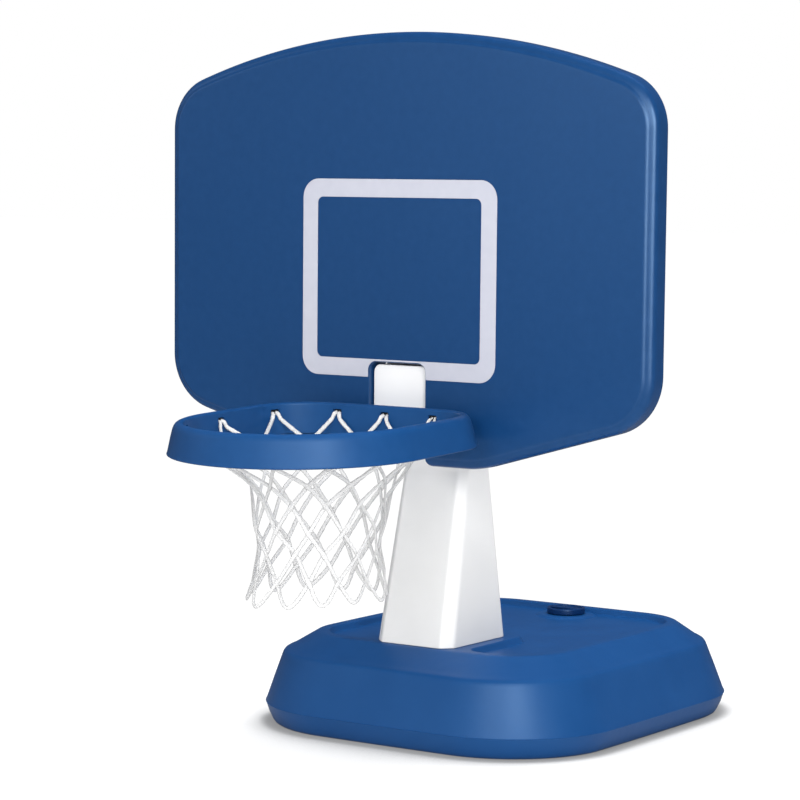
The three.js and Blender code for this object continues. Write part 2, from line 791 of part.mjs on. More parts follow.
// A point at a hole: run along the wall, run into the hoop, depth below the band's top
function holePoint(hole, along, into, depth) {
  const side = new THREE.Vector2(-hole.into.y, hole.into.x);
  const p = hole.at.clone().addScaledVector(side, along).addScaledVector(hole.into, into);
  return new THREE.Vector3(p.x, p.y, -depth);
}

const toggleInto = -rimWall - seatGap - toggleRadius;

function makeRim() {
  let band = rimSkin();
  const toLocal = new THREE.Matrix4().copy(rimPlace.matrixWorld).invert();
  const square = (solidGeometry) => solidOf(solidGeometry.applyMatrix4(toLocal));
  const box = (x, front, back, low, high) => {
    const block = new THREE.BoxGeometry(2 * x, back - front, high - low);
    block.translate(0, (front + back) / 2, (low + high) / 2);
    return block;
  };
  const channelPad = rimBackY - rimChannelPad;
  band = band.add(square(box(bossHalf, channelPad, tongueFrontY - seatGap, rimBoltZ - bossReach, rimBoltZ + bossReach)));
  const boreFront = channelPad - runGap;
  const boreBack = tongueFrontY + cutOverrun;
  for (const x of rimBolts) {
    const bore = new THREE.CylinderGeometry(
      boreRadius(boltRadius + seatGap),
      boreRadius(boltRadius + seatGap),
      boreBack - boreFront,
      boreSides,
    );
    bore.translate(x, (boreFront + boreBack) / 2, rimBoltZ);
    band = band.subtract(square(bore));
  }
  for (const hole of holes) {
    const angle = Math.atan2(hole.into.y, hole.into.x);
    const cut = new THREE.BoxGeometry(2 * rimWall + 2 * runGap, slotWidthNet, netSlotBottom - netSlotTop);
    cut.rotateZ(angle);
    cut.translate(hole.at.x, hole.at.y, -(netSlotTop + netSlotBottom) / 2);
    band = band.subtract(solidOf(cut));
  }
  addPiece('rim_band', band, blue, rimPlace);
  holes.forEach((hole, i) => {
    const peg = new THREE.CylinderGeometry(toggleRadius, toggleRadius, toggleLength, 8);
    peg.rotateZ(Math.atan2(hole.into.y, hole.into.x));
    const at = holePoint(hole, 0, toggleInto, toggleDepth);
    peg.translate(at.x, at.y, at.z);
    addPiece(`net_toggle_${i + 1}`, solidOf(peg), black, rimPlace);
  });
}

makeRim();

// Net: two cords leave every hole, one each way round, and are knotted at every level
const netMouthX = netSideShare * innerRadius;
const netMouthY = (netFrontShare * (innerBack - rimCentreY + innerRadius)) / 2;
const netMiddleY = (innerBack + rimCentreY - innerRadius) / 2;
function netPoint(k, turn) {
  const angle = quarter - (2 * Math.PI * turn) / netLoops;
  const x = netHalfXShares[k] * netMouthX * Math.cos(angle);
  const centre = netMiddleY + netCentreShares[k] * netMouthY;
  const y = centre + netHalfYShares[k] * netMouthY * Math.sin(angle);
  const hang = 1 - k / (netDropShares.length - 1);
  return new THREE.Vector3(x, y, rimTopZ - netDropShares[k] * netLength + y * Math.sin(rimDroop) * hang);
}

const overToggle = toggleDepth - toggleRadius - seatGap - netRadius;
const cordApart = slotWidthNet / 2 - 1.5 * netRadius;

// Axes of the net's skin: up along the cords, across to the next hole, out of the hoop
function skinAxes(up, across) {
  const out = up.clone().cross(across).normalize();
  return { up, across, out };
}

function hangingAxes(k, turn) {
  const last = netDropShares.length - 1;
  const up = netPoint(Math.max(k - 1, 0), turn).sub(netPoint(Math.min(k + 1, last), turn)).normalize();
  const across = netPoint(k, turn + 0.1).sub(netPoint(k, turn - 0.1));
  across.addScaledVector(up, -across.dot(up)).normalize();
  return skinAxes(up, across);
}

function makeNet() {
  const positions = [];
  const faces = [];
  const addPoint = (p) => {
    positions.push(p.x, p.y, p.z);
    return positions.length / 3 - 1;
  };
  const quad = ([a, b, c, d]) => faces.push(a, b, c, a, c, d);
  const corner = (at, axes, direction, reach, side) => addPoint(
    at.clone().addScaledVector(direction, reach).addScaledVector(axes.out, side * netRadius),
  );
  // Knot: a small diamond block whose four edges take a cord each
  const addKnot = (at, axes) => {
    const pair = (direction, sign) => ({
      in: corner(at, axes, direction, sign * netKnot, -1),
      out: corner(at, axes, direction, sign * netKnot, 1),
    });
    const knot = {
      left: pair(axes.across, -1),
      top: pair(axes.up, 1),
      right: pair(axes.across, 1),
      bottom: pair(axes.up, -1),
    };
    quad([knot.left.out, knot.top.out, knot.right.out, knot.bottom.out]);
    quad([knot.left.in, knot.bottom.in, knot.right.in, knot.top.in]);
    return knot;
  };
  const edge = (from, to) => [from.in, from.out, to.out, to.in];
  const downLeft = (knot) => edge(knot.left, knot.bottom);
  const downRight = (knot) => edge(knot.bottom, knot.right);
  const fromLeft = (knot) => edge(knot.left, knot.top);
  const fromRight = (knot) => edge(knot.top, knot.right);
  // Section of a cord that runs against the up axis
  const addSection = (at, axes) => [[-1, -1], [-1, 1], [1, 1], [1, -1]].map(([a, o]) => addPoint(
    at.clone().addScaledVector(axes.across, a * netRadius).addScaledVector(axes.out, o * netRadius),
  ));
  const run = (sections) => {
    for (let s = 0; s + 1 < sections.length; s += 1) {
      const low = sections[s];
      const high = sections[s + 1];
      low.forEach((_, i) => {
        const j = (i + 1) % low.length;
        quad([low[i], low[j], high[j], high[i]]);
      });
    }
  };
  const place = rimPlace.matrixWorld;
  const rows = netDropShares.map((_, k) => holes.map((_hole, i) => {
    const turn = i + (k + 1) / 2;
    return addKnot(netPoint(k, turn), hangingAxes(k, turn));
  }));
  const count = holes.length;
  holes.forEach((hole, i) => {
    const back = new THREE.Vector3(-hole.into.x, -hole.into.y, 0).transformDirection(place);
    const across = new THREE.Vector3(-hole.into.y, hole.into.x, 0).transformDirection(place);
    const top = new THREE.Vector3(0, 0, 1).transformDirection(place);
    const over = skinAxes(back, across);
    const bending = skinAxes(back.clone().add(top).normalize(), across);
    const knot = addKnot(holePoint(hole, 0, toggleInto, overToggle).applyMatrix4(place), over);
    quad(fromLeft(knot).reverse());
    quad(fromRight(knot).reverse());
    for (const way of [-1, 1]) {
      const mouth = holePoint(hole, way * cordApart, netRadius + runGap, toggleDepth - netRadius).applyMatrix4(place);
      const leaving = way < 0 ? downLeft(knot) : downRight(knot);
      const next = rows[0][way < 0 ? (i + count - 1) % count : i];
      const arriving = way < 0 ? fromRight(next) : fromLeft(next);
      run([leaving, addSection(mouth, bending), arriving]);
    }
  });
  rows.forEach((row, k) => {
    row.forEach((knot, i) => {
      if (k + 1 < rows.length) {
        run([downLeft(knot), fromRight(rows[k + 1][(i + count - 1) % count])]);
        run([downRight(knot), fromLeft(rows[k + 1][i])]);
      } else {
        quad(downLeft(knot));
        quad(downRight(knot));
      }
    });
  });
  const geometry = new THREE.BufferGeometry();
  geometry.setAttribute('position', new THREE.Float32BufferAttribute(positions, 3));
  geometry.setIndex(faces);
  addPiece('net', solidOf(geometry), cord);
}

makeNet();

// Hex head, shank and round washer about a local axis that runs along +Z
function hexBolt(length, radius, across, headThick, sides) {
  const head = new THREE.CylinderGeometry(across / Math.sqrt(3), across / Math.sqrt(3), headThick, 6);
  head.rotateX(quarter);
  head.translate(0, 0, -headThick / 2);
  const overlap = headThick / 2;
  const shank = new THREE.CylinderGeometry(radius, radius, length + overlap, sides);
  shank.rotateX(quarter);
  shank.translate(0, 0, (length - overlap) / 2);
  return solidOf(head).add(solidOf(shank));
}

function washer(radius, hole, thick) {
  return lathe([[radius, thick], [hole, thick], [hole, 0], [radius, 0], [radius, thick]], 12);
}

function placeAt(x, y, z, turnX = 0) {
  const place = new THREE.Group();
  place.position.set(x, y, z);
  place.rotation.x = turnX;
  hoop.add(place);
  return place;
}

function makeFootFixings() {
  footBolts.forEach(([x, y], i) => {
    const low = placeAt(x, y, pocketCeiling - seatGap - washerThick);
    addPiece(`foot_washer_${i + 1}`, washer(washerRadius, boreRadius(boltRadius + seatGap), washerThick), steel, low);
    const bolt = placeAt(x, y, pocketCeiling - 2 * seatGap - washerThick);
    addPiece(`foot_bolt_${i + 1}`, hexBolt(footBoltLength, boltRadius, boltHeadAcross, boltHeadThick, 10), steel, bolt);
    const bore = boreRadius(boltRadius + seatGap);
    const insert = lathe([
      [insertBarrel, seatGap - plugFloor],
      [insertBarrel, seatGap],
      [insertFlange, seatGap],
      [insertFlange, seatGap + insertFlangeThick],
      [bore, seatGap + insertFlangeThick],
      [bore, seatGap - plugFloor],
      [insertBarrel, seatGap - plugFloor],
    ], 12);
    addPiece(`foot_insert_${i + 1}`, insert, brass, placeAt(x, y, plugBottom + plugFloor));
  });
}

makeFootFixings();

// Star knob about +Z with a blind bore from its seat
function starKnob() {
  const outline = [];
  const steps = knobLobes * 6;
  for (let i = 0; i < steps; i += 1) {
    const angle = (2 * Math.PI * i) / steps;
    const r = knobRadius - knobLobeDepth * (1 - Math.cos(knobLobes * angle)) / 2;
    outline.push(new THREE.Vector2(r * Math.cos(angle), r * Math.sin(angle)));
  }
  const scaled = (share) => outline.map((p) => p.clone().multiplyScalar(share));
  const grip = loftSolid([
    level(scaled(knobSeatShare), knobHub / 2),
    level(outline, knobHub / 2 + knobEdge),
    level(outline, knobHub / 2 + knobThick - knobEdge),
    level(scaled(knobTopShare), knobHub / 2 + knobThick),
  ]);
  const hub = barZ(0, 0, 0, knobHub, knobHubRadius, 16);
  const bore = barZ(0, 0, -cutOverrun, knobThick, boreRadius(boltRadius + seatGap), boreSides);
  return grip.add(hub).subtract(bore);
}

function makeRimFixings() {
  rimBolts.forEach((x, i) => {
    const headSeat = rimBackY - rimChannelPad - seatGap;
    const washerY = spotFaceY + seatGap;
    const knobY = washerY + washerThick + seatGap;
    const length = knobY + knobThick - knobBoreEnd - headSeat;
    const bolt = placeAt(x, headSeat, rimBoltZ, -quarter);
    addPiece(`rim_bolt_${i + 1}`, hexBolt(length, boltRadius, boltHeadAcross, boltHeadThick, 10), steel, bolt);
    const ring = placeAt(x, washerY, rimBoltZ, -quarter);
    addPiece(`rim_washer_${i + 1}`, washer(washerRadius, boreRadius(boltRadius + seatGap), washerThick), steel, ring);
    addPiece(`rim_knob_${i + 1}`, starKnob(), black, placeAt(x, knobY, rimBoltZ, -quarter));
  });
}

makeRimFixings();

function makeBoardScrews() {
  boardScrews.forEach(([x, z], i) => {
    const shank = screwReach + earThick + 2 * seatGap;
    const screw = lathe([
      [0, -shank],
      [screwRadius / 2, -shank],
      [screwRadius, screwTip - shank],
      [screwRadius, 0],
      [screwHead, 0],
      [screwHead, screwHeadThick / 2],
      [screwCrown, screwHeadThick],
      [0, screwHeadThick],
    ], 12);
    const place = placeAt(x, headFrontY + earThick + seatGap, z, -quarter);
    addPiece(`board_screw_${i + 1}`, screw, steel, place);
  });
}

makeBoardScrews();

export default hoop;
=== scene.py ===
# A poolside basketball hoop: a ballast tank of blue polyethylene, a tapered white
# column, a hollow arched backboard and a drooping U-shaped rim with a knotted net.
# Metres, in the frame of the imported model: +Z up, Y = 0 at the backboard's front.

import math
import random

import bmesh
import bpy
from mathutils import Matrix, Vector
from mathutils.geometry import interpolate_bezier, intersect_line_line_2d


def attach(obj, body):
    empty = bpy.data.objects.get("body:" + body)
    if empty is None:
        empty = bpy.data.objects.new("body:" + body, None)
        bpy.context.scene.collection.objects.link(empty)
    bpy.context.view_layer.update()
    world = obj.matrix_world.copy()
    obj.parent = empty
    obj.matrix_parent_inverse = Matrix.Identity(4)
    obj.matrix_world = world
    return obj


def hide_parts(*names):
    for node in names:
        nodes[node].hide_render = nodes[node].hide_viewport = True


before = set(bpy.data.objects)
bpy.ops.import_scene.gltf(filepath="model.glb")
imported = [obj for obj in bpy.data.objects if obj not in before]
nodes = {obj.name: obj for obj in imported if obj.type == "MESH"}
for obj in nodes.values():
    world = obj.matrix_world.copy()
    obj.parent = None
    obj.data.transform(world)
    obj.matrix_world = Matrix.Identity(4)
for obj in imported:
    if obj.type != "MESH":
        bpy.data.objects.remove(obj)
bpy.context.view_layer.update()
mm = 0.001

# Camera. It stands to the right of the pool side of the hoop, a little below the
# board's top edge, and looks slightly down. The shift keeps the photograph's framing.
eye = Vector((2041.88, -2984.87, 728.91)) * mm
eye_turn = math.radians(34.292)
eye_dip = math.radians(6.126)
eye_roll = math.radians(0.535)
camera_data = bpy.data.cameras.new("photo_camera")
camera_data.lens = 128.25
camera_data.sensor_width = 36
camera_data.shift_y = 0.1
camera_data.clip_end = 100
camera = bpy.data.objects.new("photo_camera", camera_data)
bpy.context.scene.collection.objects.link(camera)
camera.matrix_world = (
    Matrix.Translation(eye)
    @ Matrix.Rotation(eye_turn, 4, "Z")
    @ Matrix.Rotation(math.pi / 2 - eye_dip, 4, "X")
    @ Matrix.Rotation(eye_roll, 4, "Z")
)
bpy.context.scene.camera = camera
bpy.context.scene.view_settings.view_transform = "Standard"


# Studio. A white sheet of paper lies under the hoop and fills the view behind it. The
# lamps hang near the camera, to the right, to the left and overhead, and two more of them
# are seen only as reflections.
class Level:
    """A value on its way through a finish: sums on it become Math nodes."""

    def __init__(self, finish, socket):
        self.finish = finish
        self.socket = socket

    def sum(self, operation, other):
        return self.finish.node("Math", {"operation": operation}, {0: self, 1: other})

    def __add__(self, other):
        return self.sum("ADD", other)

    def __sub__(self, other):
        return self.sum("SUBTRACT", other)

    def __mul__(self, other):
        return self.sum("MULTIPLY", other)

    def __pow__(self, other):
        return self.sum("POWER", other)


class Finish:
    """The nodes of a material, or of the world, all added by one method."""

    def __init__(self, name, family=bpy.data.materials):
        self.data = family.new(name)
        self.data.use_nodes = True
        self.tree = self.data.node_tree

    def node(self, kind, settings, sockets, output=0):
        made = self.tree.nodes.new("ShaderNode" + kind)
        for name, value in settings.items():
            setattr(made, name, value)
        for name, value in sockets.items():
            self.feed(made.inputs[name], value)
        return Level(self, made.outputs[output])

    def feed(self, socket, value):
        if isinstance(value, Level):
            self.tree.links.new(value.socket, socket)
        else:
            socket.default_value = value

    def shade(self, **sockets):
        for name, value in sockets.items():
            self.feed(self.tree.nodes["Principled BSDF"].inputs[name.replace("_", " ")], value)

    def show(self, output, shader):
        self.feed(self.tree.nodes[output].inputs["Surface"], shader)

    def coat(self, piece):
        piece.data.materials.append(self.data)

    def place(self):
        return self.node("TexCoord", {}, {}, "Object")

    def ray(self, kind):
        return self.node("LightPath", {}, {}, kind)

    def noise(self, size, detail, roughness=0.5):
        sockets = {0: self.place(), "Scale": 1 / size, "Detail": detail, "Roughness": roughness}
        return self.node("TexNoise", {}, sockets)

    def ramp(self, level, first, second, start=0.3, end=0.7):
        """Turns from the first colour to the second as the level goes from start to end."""
        made = self.node("ValToRGB", {}, {0: level})
        stops = made.socket.node.color_ramp.elements
        for stop, place, colour in zip(stops, (start, end), (first, second)):
            stop.position = place
            stop.color = colour
        return made

    def rescale(self, level, start, end, first, second):
        """Goes from the first value to the second as the level goes from start to end."""
        return self.node("MapRange", {}, {0: level, 1: start, 2: end, 3: first, 4: second})

    def blend(self, share, first, second):
        settings = {"data_type": "RGBA"}
        return self.node("Mix", settings, {0: share, 6: first, 7: second}, 2)

    def sine(self, level):
        return self.node("Math", {"operation": "SINE"}, {0: level})

    def bump(self, height, distance, strength, under=None):
        sockets = {"Height": height, "Distance": distance, "Strength": strength}
        if under:
            sockets["Normal"] = under
        return self.node("Bump", {}, sockets)


def rgb(red, green, blue):
    return (red, green, blue, 1)


def grey(level):
    return rgb(level, level, level)


# The paper glows white to the camera, and near the hoop it glows less and shows the shadow,
# deepened by a painted shadow from ambient occlusion
paper = Finish("white_paper")
direct_ray = paper.ray("Is Camera Ray")
bounced_ray = paper.ray("Is Glossy Ray") + paper.ray("Is Transmission Ray")
from_hoop = paper.node("VectorMath", {"operation": "LENGTH"}, {0: paper.place()}, "Value")
paper_share = paper.rescale(from_hoop, 0.45, 1.3, 0.2, 0.97)
paper_dark = paper.rescale(from_hoop, 0.0, 0.9, 0.5, 1.0)
# Painted shadow: the paper's tone seen by the camera darkens where ambient occlusion finds the hoop
# close by
near_hoop = paper.node("AmbientOcclusion", {"samples": 8}, {"Distance": 0.13}, "AO")
paper_painted_shadow = paper.ramp(near_hoop, grey(0.25), grey(0.85), 0.5, 0.9)
# Painted reflection: to glossy rays the paper is dark grey, darker away from the hoop, which dims
# the floor's reflections
paper_bounce = paper.blend(bounced_ray * paper_dark, grey(0.78), grey(0.12))
paper_tone = paper.blend(direct_ray, paper_bounce, paper_painted_shadow)
paper_diffuse = paper.node("BsdfDiffuse", {}, {"Color": paper_tone})
paper_glow = paper.node("Emission", {}, {"Color": grey(1.0), "Strength": 1.04})
paper_sockets = {0: direct_ray * paper_share, 1: paper_diffuse, 2: paper_glow}
paper.show("Material Output", paper.node("MixShader", {}, paper_sockets))

paper_width = 60
paper_z = -0.0002
bpy.ops.object.select_all(action="DESELECT")
bpy.ops.mesh.primitive_plane_add(size=paper_width, location=(0, 0, paper_z))
bpy.ops.object.transform_apply(location=True, rotation=False, scale=False)
floor = bpy.context.object
floor.name = "studio_floor"
paper.coat(floor)

air = Finish("studio_air", bpy.data.worlds)
bpy.context.scene.world = air.data
air_light = air.node("Background", {}, {"Color": grey(1.0), "Strength": 0.66})
air_mirrored = air.node("Background", {}, {"Color": grey(1.0), "Strength": 0.1})
air_seen = air.node("Background", {}, {"Color": grey(1.0), "Strength": 1.0})
air_around = {0: air.ray("Is Glossy Ray"), 1: air_light, 2: air_mirrored}
air_behind = {0: air.ray("Is Camera Ray"), 1: air.node("MixShader", {}, air_around), 2: air_seen}
air.show("World Output", air.node("MixShader", {}, air_behind))


def hang_lamp(name, place, aim, size, watts, mirrored=True, lighting=True):
    data = bpy.data.lights.new(name, "AREA")
    data.shape = "RECTANGLE"
    data.size, data.size_y = size
    data.energy = watts
    lamp = bpy.data.objects.new(name, data)
    bpy.context.scene.collection.objects.link(lamp)
    lamp.location = place
    lamp.rotation_euler = (Vector(aim) - Vector(place)).to_track_quat("-Z", "Y").to_euler()
    lamp.visible_glossy = mirrored
    lamp.visible_diffuse = lighting


right_place = (2.2, -2.0, 1.4)
right_aim = (0, 0.1, 0.45)
hang_lamp("key_lamp", (0.9, -2.9, 1.5), (0, 0, 0.45), size=(1.1, 1.1), watts=33)
hang_lamp("right_lamp", right_place, right_aim, size=(0.45, 1.7), watts=44)
hang_lamp("left_lamp", (-2.6, -1.6, 1.6), (0, 0, 0.4), size=(1.4, 1.4), watts=5)
hang_lamp("top_lamp", (0.2, 0.7, 3.2), (0, 0.2, 0), size=(2.2, 2.2), watts=112, mirrored=False)
hang_lamp("edge_sheen", right_place, right_aim, size=(0.55, 1.7), watts=38, lighting=False)
face_place = (-1.1, -3.1, 1.35)
hang_lamp("face_sheen", face_place, (0.2, 0, 0.75), size=(1.1, 1.1), watts=6.5, lighting=False)


# Ballast tank. Blow moulded in blue polyethylene, it stands on its flat sole: sloping sides
# in two steps, a parting ridge where the mould halves meet, a raised border round a shallow
# tray, and a pad that carries the column's foot.
tank_half = 243 * mm
tank_front = -27 * mm
tank_back = 528 * mm
tank_corner = 140 * mm
tank_bow = 4 * mm
tank_corner_steps = 24
tank_side_steps = 26
# Height, inset of the sides and back, inset of the front, all in millimetres
tank_steps = [
    (0.0, 9.0, 9.0), (0.6, 5.6, 5.6), (2.4, 2.6, 2.6), (6.0, 0.2, 0.2), (16.0, -4.6, -4.6),
    (26.4, -8.0, -8.0), (27.5, -8.3, -8.3), (27.9, -8.9, -8.9), (28.4, -8.9, -8.9),
    (28.8, -8.2, -8.2), (31.0, -7.3, -7.5), (60.0, 3.8, 1.1), (90.0, 15.8, 10.5),
    (94.6, 17.8, 12.2), (97.4, 19.9, 14.3), (99.2, 22.8, 17.4), (100.6, 26.2, 21.2),
    (103.6, 31.0, 28.0), (112.0, 43.4, 44.6), (118.6, 53.2, 57.8), (120.8, 56.6, 61.8),
    (121.7, 58.8, 64.8), (122.0, 61.6, 68.2),
]
tray_fall = (7.5 * mm, 13.5 * mm)
tray_border = 21 * mm
tray_border_rings = 22
tray_rings = 40
tray_depth = 8 * mm
crest_height = 122 * mm
neck_y = 427 * mm
neck_clear = 27 * mm
weld_distance = 0.001 * mm
quarter = math.pi / 2


def corner_arc(centre_x, centre_y, radius, start, turn, steps):
    points = []
    for step in range(steps + 1):
        angle = start + turn * step / steps
        points.append((centre_x + radius * math.cos(angle), centre_y + radius * math.sin(angle)))
    return points


def circle(radius, steps):
    return corner_arc(0, 0, radius, 0, math.tau, steps)[:-1]


def rounded_outline(left, right, low, high, radius, corner_steps, side_steps=0):
    """A rounded rectangle, anticlockwise from the low right corner."""
    right_x, left_x = right - radius, left + radius
    low_y, high_y = low + radius, high - radius
    centres = ((right_x, low_y), (right_x, high_y), (left_x, high_y), (left_x, low_y))
    corners = [
        corner_arc(x, y, radius, (turn - 1) * quarter, quarter, corner_steps)
        for turn, (x, y) in enumerate(centres)
    ]
    points = []
    for index, corner in enumerate(corners):
        points += corner
        ahead = corners[(index + 1) % 4][0]
        last = corner[-1]
        for step in range(1, side_steps + 1):
            share = step / (side_steps + 1)
            points.append(tuple(a + (b - a) * share for a, b in zip(last, ahead)))
    return points


def clear_selection():
    bpy.ops.object.select_all(action="DESELECT")


def work_on(piece, *others):
    clear_selection()
    for item in (piece, *others):
        item.select_set(True)
    bpy.context.view_layer.objects.active = piece


def apply_modifier(piece, kind, **settings):
    """Runs one modifier on a piece and keeps its result as the piece's own mesh."""
    work_on(piece)
    change = piece.modifiers.new(kind, kind)
    for name, value in settings.items():
        setattr(change, name, value)
    bpy.ops.object.modifier_apply(modifier=change.name)


def pick(test, kind="FACE"):
    """In edit mode, selects the faces or edges that pass the test, and no others."""
    bpy.ops.mesh.select_mode(type=kind)
    bpy.ops.mesh.select_all(action="DESELECT")
    mesh = bmesh.from_edit_mesh(bpy.context.object.data)
    for item in mesh.faces if kind == "FACE" else mesh.edges:
        if test(item):
            item.select_set(True)
    mesh.select_flush_mode()
    bmesh.update_edit_mesh(bpy.context.object.data)


def skin(name, *tubes):
    """Tubes in edit mode, each laid along its own rings of points from one grid."""
    clear_selection()
    rings = [ring for tube in tubes for ring in tube]
    columns = len(rings[0])
    bpy.ops.mesh.primitive_grid_add(x_subdivisions=columns, y_subdivisions=len(rings) - 1, size=1)
    piece = bpy.context.object
    piece.name = name
    places = [place for ring in rings for place in [*ring, ring[0]]]
    for vertex, place in zip(piece.data.vertices, places):
        vertex.co = place
    bpy.ops.object.mode_set(mode="EDIT")
    between = set()
    row = 0
    for tube in tubes[:-1]:
        row += len(tube)
        between.update(range((row - 1) * columns, row * columns))
    pick(lambda face: face.index in between)
    bpy.ops.mesh.delete(type="ONLY_FACE")
    bpy.ops.mesh.select_all(action="SELECT")
    bpy.ops.mesh.delete_loose()
    bpy.ops.mesh.select_all(action="SELECT")
    bpy.ops.mesh.remove_doubles(threshold=weld_distance)
    return piece


def leave_edit(degrees=None, fill=True):
    """Closes the open ends, turns the skin outwards and goes back to object mode."""
    bpy.ops.mesh.select_mode(type="VERT")
    bpy.ops.mesh.select_all(action="SELECT")
    if fill:
        bpy.ops.mesh.fill_holes(sides=0)
        bpy.ops.mesh.select_all(action="SELECT")
    if bmesh.from_edit_mesh(bpy.context.object.data).calc_volume(signed=True) < 0:
        bpy.ops.mesh.flip_normals()
    bpy.ops.object.mode_set(mode="OBJECT")
    if degrees:
        bpy.ops.object.shade_smooth_by_angle(angle=math.radians(degrees))


def solid(name, *tubes, degrees=None):
    piece = skin(name, *tubes)
    leave_edit(degrees)
    return piece


def at_height(points, z):
    return [(x, y, z) for x, y in points]


def at_depth(points, y):
    return [(x, y, z) for x, z in points]


def with_mirror(right, on_centre=0):
    """An outline from its right half, whose last points may lie on the centre line."""
    return right + [(-x, y) for x, y in reversed(right[: len(right) - on_centre])]


def tank_outline(inset, front_inset):
    half = tank_half - inset
    front = tank_front + front_inset
    back = tank_back - inset
    corner = tank_corner - inset
    outline = rounded_outline(-half, half, front, back, corner, tank_corner_steps, tank_side_steps)
    bowed = []
    for x, y in outline:
        across = x / half
        along = (2 * y - front - back) / (back - front)
        bow_x = tank_bow * (1 - along**2) * across
        bow_y = tank_bow * (1 - across**2) * along
        bowed.append((x + bow_x, y + bow_y))
    return bowed


def distance_outside(x, y, left, right, low, high, radius):
    """Signed distance from a rounded rectangle: negative inside it."""
    across = abs(x - (left + right) / 2) - ((right - left) / 2 - radius)
    along = abs(y - (low + high) / 2) - ((high - low) / 2 - radius)
    outer = math.hypot(max(across, 0), max(along, 0))
    return outer + min(max(across, along), 0) - radius


def ease(share):
    share = min(max(share, 0), 1)
    return share * share * (3 - 2 * share)


def tray_height(x, y, crest):
    """Height of the tank's top inside its raised border."""
    fall_start, fall_end = tray_fall
    from_crest = -distance_outside(x, y, *crest)
    return crest_height - tray_depth * ease((from_crest - fall_start) / (fall_end - fall_start))


tank_rings = [
    at_height(tank_outline(inset * mm, front * mm), z * mm) for z, inset, front in tank_steps
]
crest_inset, crest_front_inset = (size * mm for size in tank_steps[-1][1:])
crest_limits = (
    crest_inset - tank_half,
    tank_half - crest_inset,
    tank_front + crest_front_inset,
    tank_back - crest_inset,
    tank_corner - crest_inset,
)
tray_outlines = []
for number in range(1, tray_border_rings + 1):
    inset = crest_inset + tray_border * number / tray_border_rings
    tray_outlines.append(tank_outline(inset, inset - crest_inset + crest_front_inset))
tray_middle = Vector((0, (crest_limits[2] + crest_limits[3]) / 2))
border_outline = tray_outlines[-1]
for number in range(1, tray_rings):
    share = 1 - number / tray_rings
    tray_outlines.append([tray_middle.lerp(Vector(point), share) for point in border_outline])
for outline in tray_outlines:
    tank_rings.append([(x, y, tray_height(x, y, crest_limits)) for x, y in outline])

# The spanner pocket in the sole, its outline cut by lines from its middle to the sole's edge
pocket_half = 52 * mm
pocket_front = 43.5 * mm
pocket_back = 175.5 * mm
pocket_cut = 10.25 * mm
pocket_height = 51.7 * mm


def cut_corner_outline(half, front, back, cut, round_size=0.0, steps=0):
    """A rectangle with cut corners, anticlockwise, each of its edges rounded a little."""
    right = [(half - cut, front), (half, front + cut), (half, back - cut), (half - cut, back)]
    corners = [Vector(place) for place in with_mirror(right)]
    if not steps:
        return corners
    points = []
    for index, corner in enumerate(corners):
        before = (corners[index - 1] - corner).normalized() * round_size
        after = (corners[(index + 1) % 8] - corner).normalized() * round_size
        for step in range(steps + 1):
            share = step / steps
            bend = before * (1 - share) ** 2 + after * share**2
            points.append(tuple(corner + bend))
    return points


def crossing_towards(place, middle, outline):
    """Where the line from the middle of an outline to a place outside crosses the outline."""
    for start, end in zip(outline, [*outline[1:], outline[0]]):
        crossing = intersect_line_line_2d(middle, place, start, end)
        if crossing:
            return tuple(crossing)


pocket_middle = Vector((0, (pocket_front + pocket_back) / 2))
pocket = cut_corner_outline(pocket_half, pocket_front, pocket_back, pocket_cut)
mouth = [crossing_towards(Vector(place[:2]), pocket_middle, pocket) for place in tank_rings[0]]
tank = skin("ballast_tank", [at_height(mouth, pocket_height), at_height(mouth, 0), *tank_rings])
for above in (True, False):
    pick(lambda edge: edge.is_boundary and (edge.verts[0].co.z > crest_height / 2) == above, "EDGE")
    bpy.ops.mesh.edge_face_add()


def over_neck(face):
    middle = face.calc_center_median()
    return middle.z > tray_depth and math.hypot(middle.x, middle.y - neck_y) < neck_clear


pick(over_neck)
bpy.ops.mesh.delete(type="FACE")

leave_edit(fill=False)

# The pad under the column runs into the front border with a hollow curve: growth of its
# sides, where the border has the same height, and height of its rings
pad_half = 73 * mm
pad_front = 42 * mm
pad_back = 199 * mm
pad_corner = 22 * mm
pad_corner_steps = 16
pad_hollow = 24 * mm
pad_hollow_steps = 14
pad_steps = (
    (9.6, 55.2, 113.4), (8.4, 54.2, 114.1), (6.9, 53.3, 115.0), (3.9, 51.0, 119.4),
    (2.9, 50.1, 120.8), (1.8, 49.4, 121.7), (0.4, 48.4, 122.04), (-16.0, 44.0, 122.06),
)
pad_rings = []
for grow, border, z in pad_steps:
    side = pad_half + grow * mm
    rear = pad_back + grow * mm
    corner = pad_corner + grow * mm
    hollow = pad_hollow - grow * mm
    bend_y = border * mm + hollow
    bend = corner_arc(side + hollow, bend_y, hollow, 3 * quarter, -quarter, pad_hollow_steps)
    turn = corner_arc(side - corner, rear - corner, corner, 0, quarter, pad_corner_steps)
    pad_rings.append(at_height(with_mirror([(side + hollow, pad_front), *bend, *turn]), z * mm))
pad = solid("column_pad", pad_rings)


def weld(main, *others):
    """Joins pieces that are moulded as one into the first of them."""
    work_on(main, *others)
    bpy.ops.object.join()


def smooth(piece, degrees):
    """Smooth shading up to an angle, in which large faces keep their own direction."""
    work_on(piece)
    bpy.ops.object.shade_smooth_by_angle(angle=math.radians(degrees))
    apply_modifier(piece, "WEIGHTED_NORMAL", keep_sharp=True)


weld(tank, pad)
smooth(tank, degrees=32)

